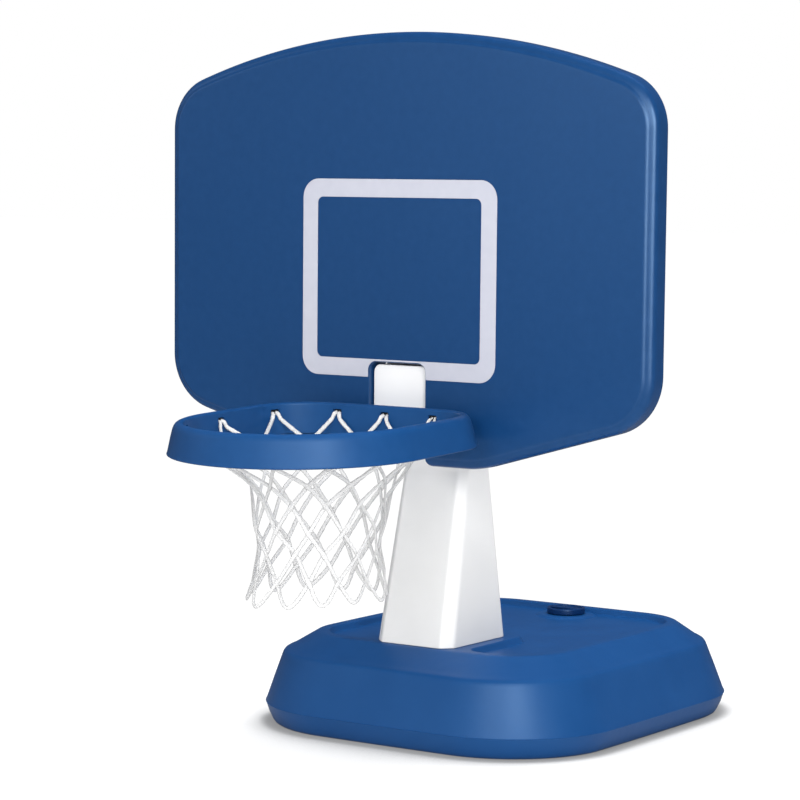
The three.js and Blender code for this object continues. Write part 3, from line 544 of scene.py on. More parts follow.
blue_sheen = rgb(0.45, 0.69, 1.0)
tank_blue = Finish("tank_blue_polyethylene")
grain = tank_blue.noise(0.9 * mm, 3, 0.6)
mottle = tank_blue.noise(60 * mm, 3, 0.55)
tank_blue.shade(
    Base_Color=tank_blue.ramp(mottle, rgb(0.0035, 0.05, 0.18), rgb(0.005, 0.056, 0.195)),
    Roughness=mottle * 0.14 + 0.38,
    Normal=tank_blue.bump(grain, 0.07 * mm, 0.8, tank_blue.bump(mottle, 2.5 * mm, 0.3)),
    Specular_Tint=blue_sheen,
)
tank_blue.coat(tank)
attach(tank, "stand")
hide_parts("base_tank")


# Collar of the filling neck: a low ring moulded on the tray, with the bore and the
# short tube that the cap's thread takes.
# Radius and height in millimetres, round the section
collar_profile = [
    (43.5, 113.6), (42.4, 114.1), (41.0, 115.0), (39.2, 116.1), (37.2, 116.8), (35.0, 117.0),
    (29.6, 117.0), (28.6, 116.7), (27.6, 116.7), (21.2, 117.0), (20.7, 116.8), (20.5, 116.2),
    (20.5, 97.0), (24.0, 97.0), (24.0, 113.4), (43.5, 113.6),
]


def turned_rings(profile, centre, axis="Z", steps=64):
    """Rings of a turned piece from its radii and heights in millimetres, round a centre."""
    rings = []
    for radius, height in profile:
        ring = []
        for x, y in circle(radius * mm, steps):
            place = Vector((x, y, height * mm)) if axis == "Z" else Vector((x, height * mm, -y))
            ring.append(tuple(place + Vector(centre)))
        rings.append(ring)
    return rings


collar = solid("filling_collar", turned_rings(collar_profile, (0, neck_y, 0)), degrees=35)
tank_blue.coat(collar)
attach(collar, "stand")


# Filling cap: moulded in darker blue polypropylene, a dished disc with a thick ring
# and a bar to turn it by. Its skirt goes down the neck and it seats on a rubber ring.
cap_profile = [
    (0.4, 122.1), (20.0, 122.1), (21.2, 122.4), (21.9, 123.2), (22.3, 124.6), (22.8, 125.3),
    (23.6, 125.6), (24.9, 125.6), (25.9, 125.2), (26.4, 124.4), (26.5, 123.2), (26.5, 118.6),
    (26.2, 117.9), (25.6, 117.6), (25.0, 117.7), (24.7, 118.2), (24.7, 119.6), (19.7, 119.6),
    (19.7, 101.0), (19.2, 100.3), (17.2, 100.3), (16.7, 101.0), (16.7, 118.6), (0.4, 118.6),
]
cap_bar = (43.4 * mm, 7.8 * mm, 3.4 * mm)
cap_bar_z = 123.7 * mm
cap_bar_round = 1.1 * mm
cap = solid("filling_cap", turned_rings(cap_profile, (0, neck_y, 0)))


def beveled_block(name, middle, size, bevel, segments=4):
    clear_selection()
    bpy.ops.mesh.primitive_cube_add(size=1)
    block = bpy.context.object
    block.name = name
    for vertex in block.data.vertices:
        vertex.co = Vector(middle) + Vector(a * b for a, b in zip(vertex.co, size))
    apply_modifier(block, "BEVEL", width=bevel, segments=segments, limit_method="NONE")
    return block


grip = beveled_block("cap_grip", (0, neck_y, cap_bar_z), cap_bar, cap_bar_round)
weld(cap, grip)
smooth(cap, degrees=38)
cap_navy = Finish("cap_navy_polypropylene")
cap_grain = cap_navy.noise(0.7 * mm, 2)
cap_wear = cap_navy.noise(14 * mm, 3)
cap_navy.shade(
    Base_Color=cap_navy.ramp(
        cap_wear, rgb(0.0012, 0.02, 0.088), rgb(0.0019, 0.026, 0.106), end=0.75
    ),
    Roughness=cap_wear * 0.14 + 0.3,
    Normal=cap_navy.bump(cap_grain, 0.03 * mm, 0.5),
    Specular_Tint=blue_sheen,
)
cap_navy.coat(cap)
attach(cap, "cap")
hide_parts("fill_cap")

seal_black = Finish("seal_rubber")
seal_dust = seal_black.noise(3 * mm, 3)
seal_black.shade(
    Base_Color=seal_black.ramp(seal_dust, grey(0.008), grey(0.014), start=0.35),
    Roughness=seal_dust * 0.1 + 0.74,
    Normal=seal_black.bump(seal_dust, 0.05 * mm, 0.4),
)


def refinish(name, finish):
    """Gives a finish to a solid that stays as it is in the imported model."""
    nodes[name].data.materials.clear()
    finish.coat(nodes[name])


refinish("fill_cap_gasket", seal_black)


# Column. A tapered white tube with cut corners, moulded in one piece: a plug that sits
# in the tank, a swan neck up to the board, ears for the board's screws, and the tongue
# that shows through the board's slot and takes the rim bolts.
foot_z = 122.3 * mm
waist_z = 345 * mm
neck_end_z = 412 * mm
head_z = 640 * mm
plug_z = 60.3 * mm
plug_inset = 4 * mm
column_round = 3.2 * mm
column_round_steps = 5
# Sizes at the foot, at the waist and, where the neck changes them, at the top
column_front = (36 * mm, 84 * mm, 33.6 * mm)
column_back = (183 * mm, 152 * mm)
column_half = (59.5 * mm, 50.5 * mm, 42 * mm)
column_cut = (14 * mm, 11 * mm)
# Height above the foot and inset, where the foot's edge is rounded
foot_edge = ((0.0, 1.2), (0.2, 0.4), (0.9, 0.0))
# Where each run of rings starts, the rise from ring to ring and the rings' numbers
column_runs = (
    (foot_z, 8, range(1, 28)),
    (waist_z, 3.35, range(21)),
    (neck_end_z, 11, range(1, 20)),
)
# Height below the top and inset, where the closed top is rounded
head_edge = ((7.0, 0.0), (4.2, 0.5), (2.0, 1.9), (0.6, 4.0), (0.0, 7.0), (0.0, 12.0))


def mix(first, second, share):
    return first + (second - first) * share


def column_outline(z, inset=0.0):
    rise = (z - foot_z) / (waist_z - foot_z)
    lower = min(rise, 1)
    climb = max(0, (z - waist_z) / (head_z - waist_z))
    half = mix(mix(column_half[0], column_half[1], lower), column_half[2], climb)
    back = mix(column_back[0], column_back[1], rise)
    cut = mix(column_cut[0], column_cut[1], lower)
    front = mix(column_front[0], column_front[1], lower)
    if z > waist_z:
        front = mix(column_front[1], column_front[2], ease((z - waist_z) / (neck_end_z - waist_z)))
    limits = (half - inset, front + inset, back - inset, cut - inset / 2)
    return cut_corner_outline(*limits, column_round, column_round_steps)


def column_ring(z, inset=0.0):
    return at_height(column_outline(z, inset), z)


plug_outline = column_outline(foot_z, plug_inset)
column_rings = [at_height(plug_outline, plug_z), at_height(plug_outline, foot_z)]
column_rings += [column_ring(foot_z + height * mm, inset * mm) for height, inset in foot_edge]
for start, rise, numbers in column_runs:
    column_rings += [column_ring(start + number * rise * mm) for number in numbers]
column_rings += [column_ring(head_z - down * mm, inset * mm) for down, inset in head_edge]
column = solid("column_body", column_rings)

plate_corner_steps = 8
plate_bend = 0.3
# Half width, low and high end, corner radius, front, back and rounding of the front edge
tongue_sizes = (41, 384, 487, 10, 8, 40, 1.2)
ears_sizes = (72, 498, 636, 14, 33.6, 41.1, 0)


def upright_plate(name, sizes):
    """A plate in X and Z with rounded corners, whose front edge is rounded too."""
    half, low, high, corner, front, back, edge = (size * mm for size in sizes)
    rings = []
    bend = edge * plate_bend
    for inset, y in ((edge, front), (bend, front + bend), (0, front + edge), (0, back)):
        side = half - inset
        limits = (-side, side, low + inset, high - inset)
        rings.append(at_depth(rounded_outline(*limits, corner - inset, plate_corner_steps), y))
    return solid(name, rings)


tongue = upright_plate("tongue", tongue_sizes)
ears = upright_plate("ears", ears_sizes)
bolt_x = (-24 * mm, 24 * mm)
bolt_z = 419 * mm
spot_profile = [
    (0.4, 145.3), (14.2, 145.3), (14.8, 145.0), (15.0, 144.4), (15.0, 130.0), (0.4, 130.0),
]
spots = [solid("spot_face", turned_rings(spot_profile, (x, 0, bolt_z), "Y")) for x in bolt_x]
weld(column, tongue, ears, *spots)
smooth(column, degrees=30)

column_white = Finish("column_white_polyethylene")
column_sag = column_white.noise(70 * mm, 2)
column_grain = column_white.noise(1.3 * mm, 3, 0.6)
# Painted light: the white is painted lighter from 0.22 m up to 0.43 m and above, making up for the
# board's shade on the upper column
column_up = column_white.node("SeparateXYZ", {}, {0: column_white.place()}, "Z")
column_painted_rise = column_white.rescale(column_up, 0.22, 0.43, 0.0, 1.0)
column_low = column_white.ramp(column_sag, rgb(0.69, 0.69, 0.687), rgb(0.72, 0.72, 0.717))
column_painted_lighter = column_white.ramp(column_sag, grey(0.84), grey(0.87))
column_wave = column_white.bump(column_sag, 1.2 * mm, 0.35)
column_white.shade(
    Base_Color=column_white.blend(column_painted_rise, column_low, column_painted_lighter),
    Roughness=column_sag * 0.1 + 0.28,
    Normal=column_white.bump(column_grain, 0.03 * mm, 0.4, column_wave),
)
column_white.coat(column)
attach(column, "stand")
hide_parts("column")


# Backboard. Hollow, blow moulded like the tank and screwed to the column's ears: an arched
# top edge, a bead that rolls round the front edge, a slot for the tongue and long tack-off
# grooves in the back skin.
board_half = 369 * mm
board_crown = 960 * mm
board_crown_z = -53 * mm
board_top_corner = 70 * mm
board_low_corner = 75 * mm
board_low_z = 360.5 * mm
board_top_z = 907 * mm
board_flat = 119 * mm
board_rise = 0.278
board_blend = 120 * mm
board_arc_steps = (6, 18, 16, 28)
# Inset and depth behind the face, from the back skin round the side to the flat face
board_edge = [
    (3.2, 33.0), (1.3, 32.3), (0.35, 31.0), (0.0, 29.4), (0.0, 20.0), (0.0, 13.0), (0.25, 10.6),
    (0.8, 8.7), (1.7, 7.0), (2.8, 5.8), (4.0, 4.85), (5.2, 4.05), (6.4, 3.4), (7.6, 2.95),
    (8.6, 2.7), (9.6, 2.4), (10.6, 1.85), (11.5, 1.2), (12.4, 0.6), (13.4, 0.2), (14.8, 0.03),
    (16.6, 0.0),
]
slot_half = 43 * mm
slot_top = 490 * mm
slot_corner = 11 * mm
slot_mouth_round = 9 * mm
slot_arc_steps = 8
# Growth of the slot and depth behind the face, where its front edge is rounded
slot_edge = ((2.4, -0.6), (1.5, 0.0), (0.7, 0.25), (0.2, 0.8), (0.0, 1.6), (0.0, 34.0))
# Tack-off grooves: heights, middle and length as shares of the board, then place and size
groove_heights = (0.3, 0.52, 0.74)
groove_middle = 0.59
groove_length = 0.54
groove_y = 27 * mm
groove_deep = 18 * mm
groove_wide = 16 * mm
groove_round = 3 * mm


def board_outline(inset):
    """Outline in X and Z at an inset from the edge, from the bottom round the right side."""
    half = board_half - inset
    crown = board_crown - inset
    top = board_top_corner - inset
    top_z = board_crown_z + math.sqrt((crown - top) ** 2 - (half - top) ** 2)
    top_turn = math.atan2(top_z - board_crown_z, half - top)
    low = board_low_corner - inset
    bend = board_low_z + inset
    flat = board_flat + inset * math.tan(board_rise / 2)
    low_x = half - low
    low_z = bend + (low_x - flat) * math.tan(board_rise) + low / math.cos(board_rise)
    blend = board_blend + inset
    blend_x = flat - blend * math.tan(board_rise / 2)
    blend_steps, low_steps, top_steps, crown_steps = board_arc_steps
    crown_turn = quarter - top_turn
    right = corner_arc(blend_x, bend + blend, blend, -quarter, board_rise, blend_steps)
    right += corner_arc(low_x, low_z, low, board_rise - quarter, quarter - board_rise, low_steps)
    right += corner_arc(half - top, top_z, top, 0, top_turn, top_steps)
    right += corner_arc(0, board_crown_z, crown, top_turn, crown_turn, crown_steps)[1:]
    return with_mirror(right, on_centre=1)


board = solid("board", [at_depth(board_outline(inset * mm), y * mm) for inset, y in board_edge])


def cut_away(piece, cutter, *others):
    """Takes the cutters out of the piece and removes them."""
    if others:
        weld(cutter, *others)
    apply_modifier(piece, "BOOLEAN", operation="DIFFERENCE", solver="EXACT", object=cutter)
    bpy.data.objects.remove(cutter)


def slot_outline(grow):
    """The slot in X and Z: rounded at the top, and flared where it opens at the bottom."""
    side = slot_half + grow
    top = slot_top + grow
    corner = slot_corner + grow
    flare = slot_mouth_round - grow
    flare_z = board_low_z + slot_mouth_round
    right = [(side + flare, board_low_z - 2 * slot_mouth_round)]
    right += corner_arc(side + flare, flare_z, flare, -quarter, -quarter, slot_arc_steps)
    right += corner_arc(side - corner, top - corner, corner, 0, quarter, slot_arc_steps)
    return with_mirror(right)


slot = solid("slot", [at_depth(slot_outline(grow * mm), y * mm) for grow, y in slot_edge])
groove_size = (board_half * groove_length, groove_deep, groove_wide)
grooves = []
for side in (-board_half, board_half):
    for share in groove_heights:
        middle = (side * groove_middle, groove_y, mix(board_low_z, board_top_z, share))
        grooves.append(beveled_block("groove", middle, groove_size, groove_round, segments=3))
cut_away(board, slot)
cut_away(board, *grooves)
smooth(board, degrees=30)

board_blue = Finish("board_blue_polyethylene")
board_grain = board_blue.noise(1.0 * mm, 3, 0.6)
board_mottle = board_blue.noise(11 * mm, 4, 0.6)
board_sag = board_blue.noise(150 * mm, 1, 0.4)
board_wave = board_blue.bump(board_sag, 3.0 * mm, 0.4)
board_blue.shade(
    Base_Color=board_blue.ramp(
        board_mottle, rgb(0.0026, 0.0365, 0.132), rgb(0.0044, 0.044, 0.151), 0.25, 0.75
    ),
    Roughness=board_mottle * 0.12 + 0.29,
    Normal=board_blue.bump(board_grain, 0.04 * mm, 0.5, board_wave),
    Specular_Tint=blue_sheen,
    Specular_IOR_Level=0.8,
)
board_blue.coat(board)
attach(board, "stand")
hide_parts("backboard")


# Target square. A pale print on the board with rounded corners, left open at the bottom
# where the slot is. It is 0.5 mm thick here so that it has a surface of its own.
target_z = 596.5 * mm
target_drop = 22.1 * mm
target_corner_steps = 12
# Half width, corner radius and depth behind the board's face, round the print's section
target_section = (
    (148, 24, -0.3), (148, 24, -0.65), (147.85, 23.85, -0.8), (125.15, 8.15, -0.8),
    (125, 8, -0.65), (125, 8, -0.3),
)
target_rings = []
for half, corner, y in target_section:
    side = half * mm
    up = side - target_drop
    limits = (-side, side, target_z - up, target_z + up)
    outline = rounded_outline(*limits, corner * mm, target_corner_steps)
    target_rings.append(at_depth(outline, y * mm))
target = solid("target_frame", [*target_rings, target_rings[0]])
notch_outline = slot_outline(slot_edge[1][0] * mm)
notch_depths = (-4 * mm, 4 * mm)
notch = solid("target_notch", [at_depth(notch_outline, y) for y in notch_depths])
cut_away(target, notch)
smooth(target, degrees=30)

print_white = Finish("target_print")
print_cloud = print_white.noise(16 * mm, 3)
print_white.shade(
    Base_Color=print_white.ramp(print_cloud, rgb(0.45, 0.462, 0.535), rgb(0.475, 0.485, 0.555)),
    Roughness=print_cloud * 0.1 + 0.4,
    Normal=print_white.bump(print_white.noise(1.0 * mm, 3, 0.6), 0.03 * mm, 0.4),
)
print_white.coat(target)
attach(target, "stand")
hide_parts("target_square")


# Rim. An injection-moulded U-shaped band, open below like a channel, with a thin lip
# round its lower edge and a slot in the inner wall for each loop of the net. The front
# droops a little, and a boss behind the band takes the two long bolts.
rim_radius = 167 * mm
rim_centre_y = -200 * mm
rim_back_y = -6.9 * mm
rim_corner = 89 * mm
rim_top_z = 438.3 * mm
rim_droop = 0.035
rim_thick = 21 * mm
rim_front_steps = 72
rim_corner_steps = 22
rim_side_steps = 8
# Inset from the lower outer edge and depth below the top, round the band's section
rim_section = [
    (2.4, 40.0), (1.0, 39.7), (0.1, 39.1), (-0.2, 38.3), (0.0, 37.6), (0.5, 36.9), (1.5, 33.0),
    (3.1, 26.0), (4.7, 18.8), (6.0, 14.0), (7.2, 9.3), (8.2, 6.5), (9.4, 4.2), (10.9, 2.3),
    (12.8, 0.95), (14.8, 0.25), (17.0, 0.0), (18.6, 0.25), (19.8, 1.0), (20.6, 2.1),
    (21.0, 3.6), (21.0, 39.6), (20.6, 40.0), (18.4, 40.0), (18.0, 39.6), (18.0, 5.8),
    (15.0, 5.2), (11.4, 8.4), (9.0, 15.0), (3.9, 39.6), (3.5, 40.0), (2.4, 40.0),
]


def rim_outline(inset):
    side = rim_radius - inset
    back = rim_back_y - inset
    corner = rim_corner - inset
    turn_x, turn_y = side - corner, back - corner
    shares = [step / rim_side_steps for step in range(1, rim_side_steps)]
    return [
        *corner_arc(0, rim_centre_y, side, math.pi, math.pi, rim_front_steps),
        *((side, mix(rim_centre_y, turn_y, share)) for share in shares),
        *corner_arc(turn_x, turn_y, corner, 0, quarter, rim_corner_steps),
        *((mix(turn_x, -turn_x, share), back) for share in shares),
        *corner_arc(-turn_x, turn_y, corner, quarter, quarter, rim_corner_steps),
        *((-side, mix(turn_y, rim_centre_y, share)) for share in shares),
    ]


def on_rim(x, y, depth):
    """A point of the rim, given level, where the droop puts it."""
    return (
        x,
        y * math.cos(rim_droop) + depth * math.sin(rim_droop),
        rim_top_z + y * math.sin(rim_droop) - depth * math.cos(rim_droop),
    )


rim_rings = []
for inset, depth in rim_section:
    rim_rings.append([on_rim(x, y, depth * mm) for x, y in rim_outline(inset * mm)])
rim = solid("rim", rim_rings)

# Net holes: a point on the inner wall and the direction into the hoop, from the back
# middle round the right side
back_hole_gap = 5 * mm
side_hole_gap = 25 * mm
corner_hole_turn = math.pi / 8
front_hole_turns = (-0.14 * math.pi, -0.32 * math.pi)
inner_radius = rim_radius - rim_thick
inner_back = rim_back_y - rim_thick
inner_corner = rim_corner - rim_thick


def hole_on_arc(x, y, radius, angle):
    out = Vector((math.cos(angle), math.sin(angle)))
    return Vector((x, y)) + out * radius, -out


inner_turn = (inner_radius - inner_corner, inner_back - inner_corner)
right_holes = [
    (Vector((rim_radius - rim_corner - back_hole_gap, inner_back)), Vector((0, -1))),
    hole_on_arc(*inner_turn, inner_corner, corner_hole_turn),
    (Vector((inner_radius, rim_centre_y + side_hole_gap)), Vector((-1, 0))),
]
right_holes += [hole_on_arc(0, rim_centre_y, inner_radius, turn) for turn in front_hole_turns]
left_holes = [
    (Vector((-at.x, at.y)), Vector((-into.x, into.y))) for at, into in reversed(right_holes)
]
back_hole = (Vector((0, inner_back)), Vector((0, -1)))
front_hole = (Vector((0, rim_centre_y - inner_radius)), Vector((0, 1)))
net_holes = [back_hole, *right_holes, front_hole, *left_holes]


def at_hole(hole, along, inward, depth):
    """A point at a hole: run along the wall, run into the hoop, depth below the top."""
    at, into = hole
    side = Vector((-into.y, into.x))
    place = at + side * along + into * inward
    return Vector(on_rim(place.x, place.y, depth))


slot_size = (7 * mm, 13 * mm, 7 * mm)
slot_depth = 11.4 * mm
slot_round = 2 * mm
slot_cutters = []
for hole in net_holes:
    cutter = beveled_block("net_slot", (0, 0, 0), slot_size, slot_round, segments=3)
    turned = Matrix.Rotation(math.atan2(hole[1].y, hole[1].x), 4, "Z")
    droop = Matrix.Rotation(rim_droop, 4, "X")
    place = at_hole(hole, 0, 0, slot_depth)
    cutter.data.transform(Matrix.Translation(place) @ droop @ turned)
    slot_cutters.append(cutter)
cut_away(rim, *slot_cutters)
boss_middle = (0, -5.1 * mm, bolt_z)
boss_size = (72 * mm, 25.6 * mm, 30 * mm)
boss_round = 1.5 * mm
weld(rim, beveled_block("rim_boss", boss_middle, boss_size, boss_round))
smooth(rim, degrees=32)

rim_blue = Finish("rim_blue_polypropylene")
rim_grain = rim_blue.noise(0.9 * mm, 3, 0.6)
rim_cloud = rim_blue.noise(18 * mm, 3)
rim_blue.shade(
    Base_Color=rim_blue.ramp(rim_cloud, rgb(0.0045, 0.049, 0.17), rgb(0.006, 0.055, 0.184)),
    Roughness=rim_cloud * 0.1 + 0.42,
    Normal=rim_blue.bump(rim_grain, 0.03 * mm, 0.5),
    Specular_Tint=blue_sheen,
    Specular_IOR_Level=0.42,
)
rim_blue.coat(rim)
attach(rim, "stand")
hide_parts("rim_band")


# Net. Flat braided cord of white nylon: two cords leave each slot of the rim, one each way
# round, and pass through each other at every crossing. At the bottom each turns back up.
net_drop = 227.3 * mm
net_mouth = (118.26 * mm, 136.02 * mm)
net_middle_y = (inner_back + rim_centre_y - inner_radius) / 2
net_drop_shares = (0.208, 0.331, 0.446, 0.591, 0.723, 0.872, 1)
net_x_shares = (1, 0.766, 0.68, 0.641, 0.609, 0.643, 0.703)
net_y_shares = (1, 0.795, 0.706, 0.654, 0.618, 0.632, 0.691)
net_centre_shares = (0.14, 0.22, 0.198, 0.184, 0.162, 0.125, 0.095)
net_slack = (0.8, 1.6, 2.2, 2.4, 2.8, 3.0, 3.4)
net_loop_reach = 7
# Where a cord leaves its slot: run along the wall, run into the hoop and depth below the top
cord_start = ((1.9, -4.4, 11.9), (3.8, 1.2, 14.2), (6.4, 3.2, 20.5))
cord_half_width = 2.6 * mm
cord_half_thick = 1.7 * mm
cord_round = 14
cord_step = 2.2 * mm
cord_bend = 0.24
cord_lift = 0.75 * mm
cord_spread_reach = 3.4 * mm
cord_spread_over = 0.35
cord_spread_under = -0.15
cord_waver = 0.1
cord_waver_turns = (1.3, 0.37)
cord_groove_depth = 0.3
cord_groove_width = 0.3
net_random = random.Random(7)


def net_point(level, turn):
    angle = quarter - math.tau * turn / len(net_holes)
    x = net_x_shares[level] * net_mouth[0] * math.cos(angle)
    centre = net_middle_y + net_centre_shares[level] * net_mouth[1]
    y = centre + net_y_shares[level] * net_mouth[1] * math.sin(angle)
    hang = 1 - level / (len(net_drop_shares) - 1)
    z = rim_top_z - net_drop_shares[level] * net_drop + y * math.sin(rim_droop) * hang
    return Vector((x, y, z))


net_shifts = {}
for level, slack in enumerate(net_slack):
    for number in range(len(net_holes)):
        reach = slack * mm
        net_shifts[level, number] = Vector([net_random.uniform(-reach, reach) for _ in range(3)])


def outward(place):
    return Vector((place.x, place.y - net_middle_y, 0)).normalized()


def cord_places(number, way):
    """Where one cord runs from its slot down to the bottom, and its crossings on the way."""
    places = []
    for along, inward, depth in cord_start:
        places.append(at_hole(net_holes[number], way * along * mm, inward * mm, depth * mm))
    crossings = []
    for level in range(len(net_drop_shares) - 1):
        turn = number + way * (level + 1) / 2
        crossing = math.floor(turn) % len(net_holes)
        place = net_point(level, turn) + net_shifts[level, crossing]
        over = 1 if (level + crossing) % 2 == (way + 1) / 2 else -1
        place += outward(place) * over * cord_lift
        places.append(place)
        crossings.append((place, over > 0))
    return places, crossings


def smooth_path(places, step):
    """A curve through the places in short steps, its slope at each taken from both sides."""
    slopes = []
    for number in range(len(places)):
        before = places[max(number - 1, 0)]
        after = places[min(number + 1, len(places) - 1)]
        slopes.append((after - before).normalized())
    path = []
    for start, end, leaving, arriving in zip(places, places[1:], slopes, slopes[1:]):
        run = (end - start).length
        steps = max(2, round(run / step))
        handle = run * cord_bend
        handles = (start + leaving * handle, end - arriving * handle)
        path += interpolate_bezier(start, *handles, end, steps + 1)[:-1]
    return [*path, places[-1]]


def cord_rings(places, crossings):
    """Flat sections along a cord, spread where another cord passes through it."""
    path = smooth_path(places, cord_step)
    phase = net_random.uniform(0, math.tau)
    rings = []
    for number, place in enumerate(path):
        along = (path[min(number + 1, len(path) - 1)] - path[max(number - 1, 0)]).normalized()
        out = outward(place)
        out = (out - along * out.dot(along)).normalized()
        across = along.cross(out)
        fast, slow = (number * turn for turn in cord_waver_turns)
        spread = 1 + cord_waver * math.sin(fast + phase) * math.sin(slow + 2 * phase)
        for crossing, over in crossings:
            near = math.exp(-(((place - crossing).length / cord_spread_reach) ** 2))
            spread += near * (cord_spread_over if over else cord_spread_under)
        ring = []
        for side, lift in circle(1, cord_round):
            groove = 1 - cord_groove_depth * math.exp(-((side / cord_groove_width) ** 2))
            wide = across * side * cord_half_width * spread
            ring.append(place + wide + out * lift * cord_half_thick * groove)
        rings.append(ring)
    return rings


cords = []
lowest = len(net_drop_shares) - 1
for number in range(len(net_holes)):
    down, down_crossings = cord_places(number, 1)
    up, up_crossings = cord_places((number + net_loop_reach) % len(net_holes), -1)
    bottom = net_point(lowest, number + net_loop_reach / 2) + net_shifts[lowest, number]
    cords.append(cord_rings([*down, bottom, *reversed(up)], down_crossings + up_crossings))
net = solid("hanging_net", *cords, degrees=60)

cord_white = Finish("net_cord_nylon")
cord_uv = cord_white.node("TexCoord", {}, {}, "UV")
cord_around = cord_white.node("SeparateXYZ", {}, {0: cord_uv}, "X") * math.tau
cord_count = sum(map(len, cords)) - 1
cord_along = cord_white.node("SeparateXYZ", {}, {0: cord_uv}, "Y") * cord_count
strand_run = 4.1
strands = 3
one_way = cord_white.sine(cord_along * strand_run + cord_around * strands)
other_way = cord_white.sine(cord_along * strand_run - cord_around * strands)
cord_braid = one_way.sum("MAXIMUM", other_way)
# Painted shade: the cord darkens towards its edges round the section, as the sides of a round cord
# are shaded; braid pattern and lint add their own tone
cord_edge_shade = cord_white.sine(cord_around + quarter) ** 2
cord_lint = cord_white.noise(4 * mm, 3, 0.6)
cord_tone = cord_edge_shade * 0.55 + cord_braid * 0.12 + cord_lint * 0.3
cord_white.shade(
    Base_Color=cord_white.ramp(cord_tone, grey(0.7), grey(0.46), 0.1, 0.85),
    Roughness=cord_lint * 0.15 + 0.72,
    Normal=cord_white.bump(cord_braid, 0.25 * mm, 0.7),
)
cord_white.coat(net)
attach(net, "stand")
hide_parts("net")


# Net toggles. Short black nylon pegs behind the rim's inner wall: the net's cords hang on
# them. Their near-black colour is partly their own and partly painted shade for the dark channel
# seen in the slots.
toggle_into = -5.5 * mm
toggle_depth = 11.6 * mm
toggle_round = 24
# Run along the peg and radius
toggle_profile = [(-9.5, 0.3), (-9.4, 1.3), (-9.0, 2.3), (-8.3, 3.0), (-7.4, 3.2)]
toggle_profile += [(-run, radius) for run, radius in reversed(toggle_profile)]
toggle_black_and_slot_shade = Finish("toggle_nylon_and_slot_shade")
toggle_haze = toggle_black_and_slot_shade.noise(2 * mm, 3)
toggle_black_and_slot_shade.shade(
    # Near black: the pegs' own black together with painted shade for the inside of the slots
    Base_Color=toggle_black_and_slot_shade.ramp(toggle_haze, grey(0.004), grey(0.008)),
    Roughness=toggle_haze * 0.15 + 0.38,
    Normal=toggle_black_and_slot_shade.bump(toggle_haze, 0.03 * mm, 0.4),
)
for number, hole in enumerate(net_holes, 1):
    peg_rings = []
    for run, radius in toggle_profile:
        ring = []
        for across, down in circle(radius * mm, toggle_round):
            ring.append(at_hole(hole, run * mm, toggle_into + across, toggle_depth + down))
        peg_rings.append(ring)
    peg = solid(f"toggle_{number}", peg_rings, degrees=45)
    toggle_black_and_slot_shade.coat(peg)
    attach(peg, "stand")
    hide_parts(f"net_toggle_{number}")


# Knobs. Six-lobed star grips of black nylon on the ends of the rim bolts, behind the
# column. Each pulls a steel washer against the column's spot face.
knob_round = 96
knob_lobes = 6
knob_lobe_depth = 2.6
# Radius, share of the lobes' depth that is cut there, and depth behind the board's face
knob_profile = [
    (0.4, 0, 147.5), (10.3, 0, 147.5), (10.8, 0, 148.0), (10.8, 0, 152.9), (16.0, 0.8, 153.5),
    (17.6, 1, 153.7), (18.9, 1, 154.4), (19.7, 1, 155.4), (20.0, 1, 156.8), (20.0, 1, 166.0),
    (19.8, 1, 167.4), (19.2, 1, 168.5), (18.2, 1, 169.2), (16.8, 0.9, 169.5),
    (14.0, 0.5, 169.4), (12.0, 0, 168.9), (0.4, 0, 168.7),
]
knob_black = Finish("knob_black_nylon")
knob_grain = knob_black.noise(0.8 * mm, 2)
knob_handled = knob_black.noise(9 * mm, 3)
knob_black.shade(
    Base_Color=knob_black.ramp(knob_handled, grey(0.005), grey(0.0095)),
    Roughness=knob_handled * 0.16 + 0.4,
    Normal=knob_black.bump(knob_grain, 0.05 * mm, 0.6),
)
steel = Finish("fixing_steel")
steel_stain = steel.noise(3 * mm, 3)
steel.shade(
    Base_Color=steel.ramp(steel_stain, rgb(0.42, 0.43, 0.45), rgb(0.55, 0.56, 0.58)),
    Metallic=1.0,
    Roughness=steel_stain * 0.2 + 0.26,
    Normal=steel.bump(steel.noise(0.5 * mm, 2), 0.02 * mm, 0.4),
)
washer_profile = [
    (8.6, 147.2), (9.0, 146.9), (9.0, 145.9), (8.6, 145.6), (4.5, 145.6), (4.5, 147.2),
]
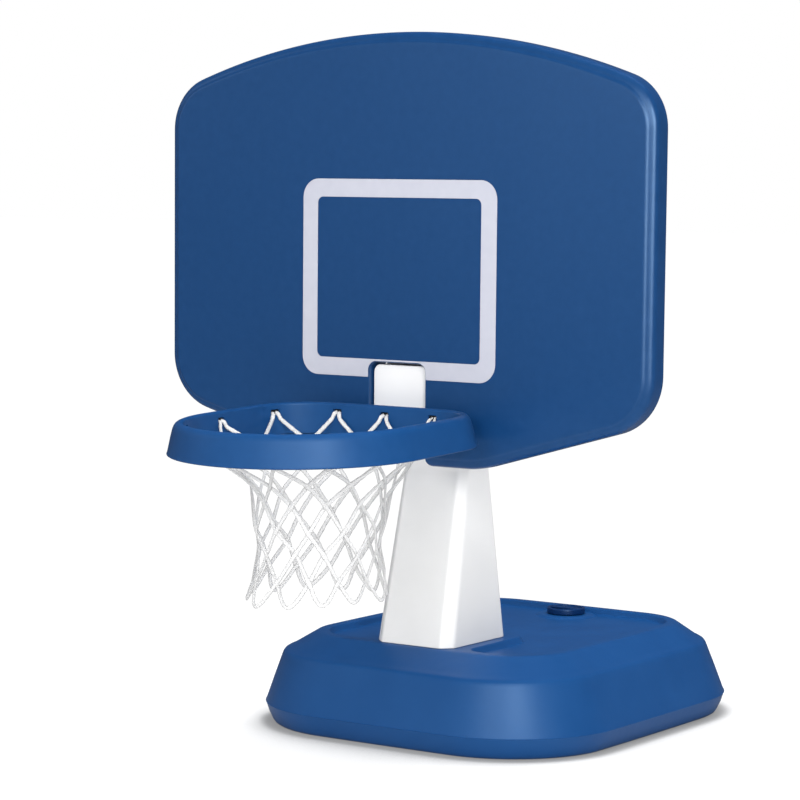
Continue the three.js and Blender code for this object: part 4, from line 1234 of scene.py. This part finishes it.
for number, x in enumerate(bolt_x, 1):
    knob_rings = []
    for radius, lobes, y in knob_profile:
        ring = []
        for angle in [math.tau * step / knob_round for step in range(knob_round)]:
            notch = knob_lobe_depth * lobes * (1 - math.cos(knob_lobes * angle)) / 2
            reach = (radius - notch) * mm
            ring.append((x + reach * math.cos(angle), bolt_z - reach * math.sin(angle)))
        knob_rings.append(at_depth(ring, y * mm))
    knob = solid(f"star_knob_{number}", knob_rings, degrees=40)
    knob_black.coat(knob)
    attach(knob, f"rim_knob_{number}")
    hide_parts(f"rim_knob_{number}")
    washer_rings = turned_rings(washer_profile, (x, 0, bolt_z), "Y")
    washer = solid(f"knob_washer_{number}", [*washer_rings, washer_rings[0]], degrees=40)
    steel.coat(washer)
    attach(washer, f"rim_washer_{number}")
    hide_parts(f"rim_washer_{number}")


# Screws of the board. Pan heads with a cross recess on the column's ears; their shanks go
# into the board's bosses.
# Radius and depth behind the board's face, from the tip to the head
screw_profile = [
    (0.3, 9.3), (1.2, 9.6), (2.5, 13.3), (2.5, 41.4), (5.7, 41.4), (6.0, 41.7), (6.0, 42.6),
    (5.6, 43.3), (4.7, 43.9), (3.2, 44.3), (0.3, 44.4),
]
screw_round = 40
screw_places = ((-60, 521), (60, 521), (-60, 613), (60, 613))
recess_y = 43.9 * mm
recess_bars = ((5.2 * mm, 2.6 * mm, 1.0 * mm), (1.0 * mm, 2.6 * mm, 5.2 * mm))
recess_round = 0.2 * mm
for number, (x, z) in enumerate(screw_places, 1):
    screw_rings = turned_rings(screw_profile, (x * mm, 0, z * mm), "Y", screw_round)
    screw = solid(f"pan_screw_{number}", screw_rings)
    recess_middle = (x * mm, recess_y, z * mm)
    for bar in recess_bars:
        cut_away(screw, beveled_block("recess", recess_middle, bar, recess_round, segments=2))
    smooth(screw, degrees=35)
    steel.coat(screw)
    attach(screw, "stand")
    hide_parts(f"board_screw_{number}")


# Foot bolts, their washers, the rim bolts and the brass inserts keep their solids and
# only get a better finish.
brass = Finish("insert_brass")
brass_stain = brass.noise(2 * mm, 3)
brass.shade(
    Base_Color=brass.ramp(brass_stain, rgb(0.44, 0.3, 0.1), rgb(0.56, 0.4, 0.16)),
    Metallic=1.0,
    Roughness=brass_stain * 0.2 + 0.3,
    Normal=brass.bump(brass_stain, 0.02 * mm, 0.4),
)
for number in range(1, 5):
    refinish(f"foot_bolt_{number}", steel)
    refinish(f"foot_washer_{number}", steel)
    refinish(f"foot_insert_{number}", brass)
for number in (1, 2):
    refinish(f"rim_bolt_{number}", steel)
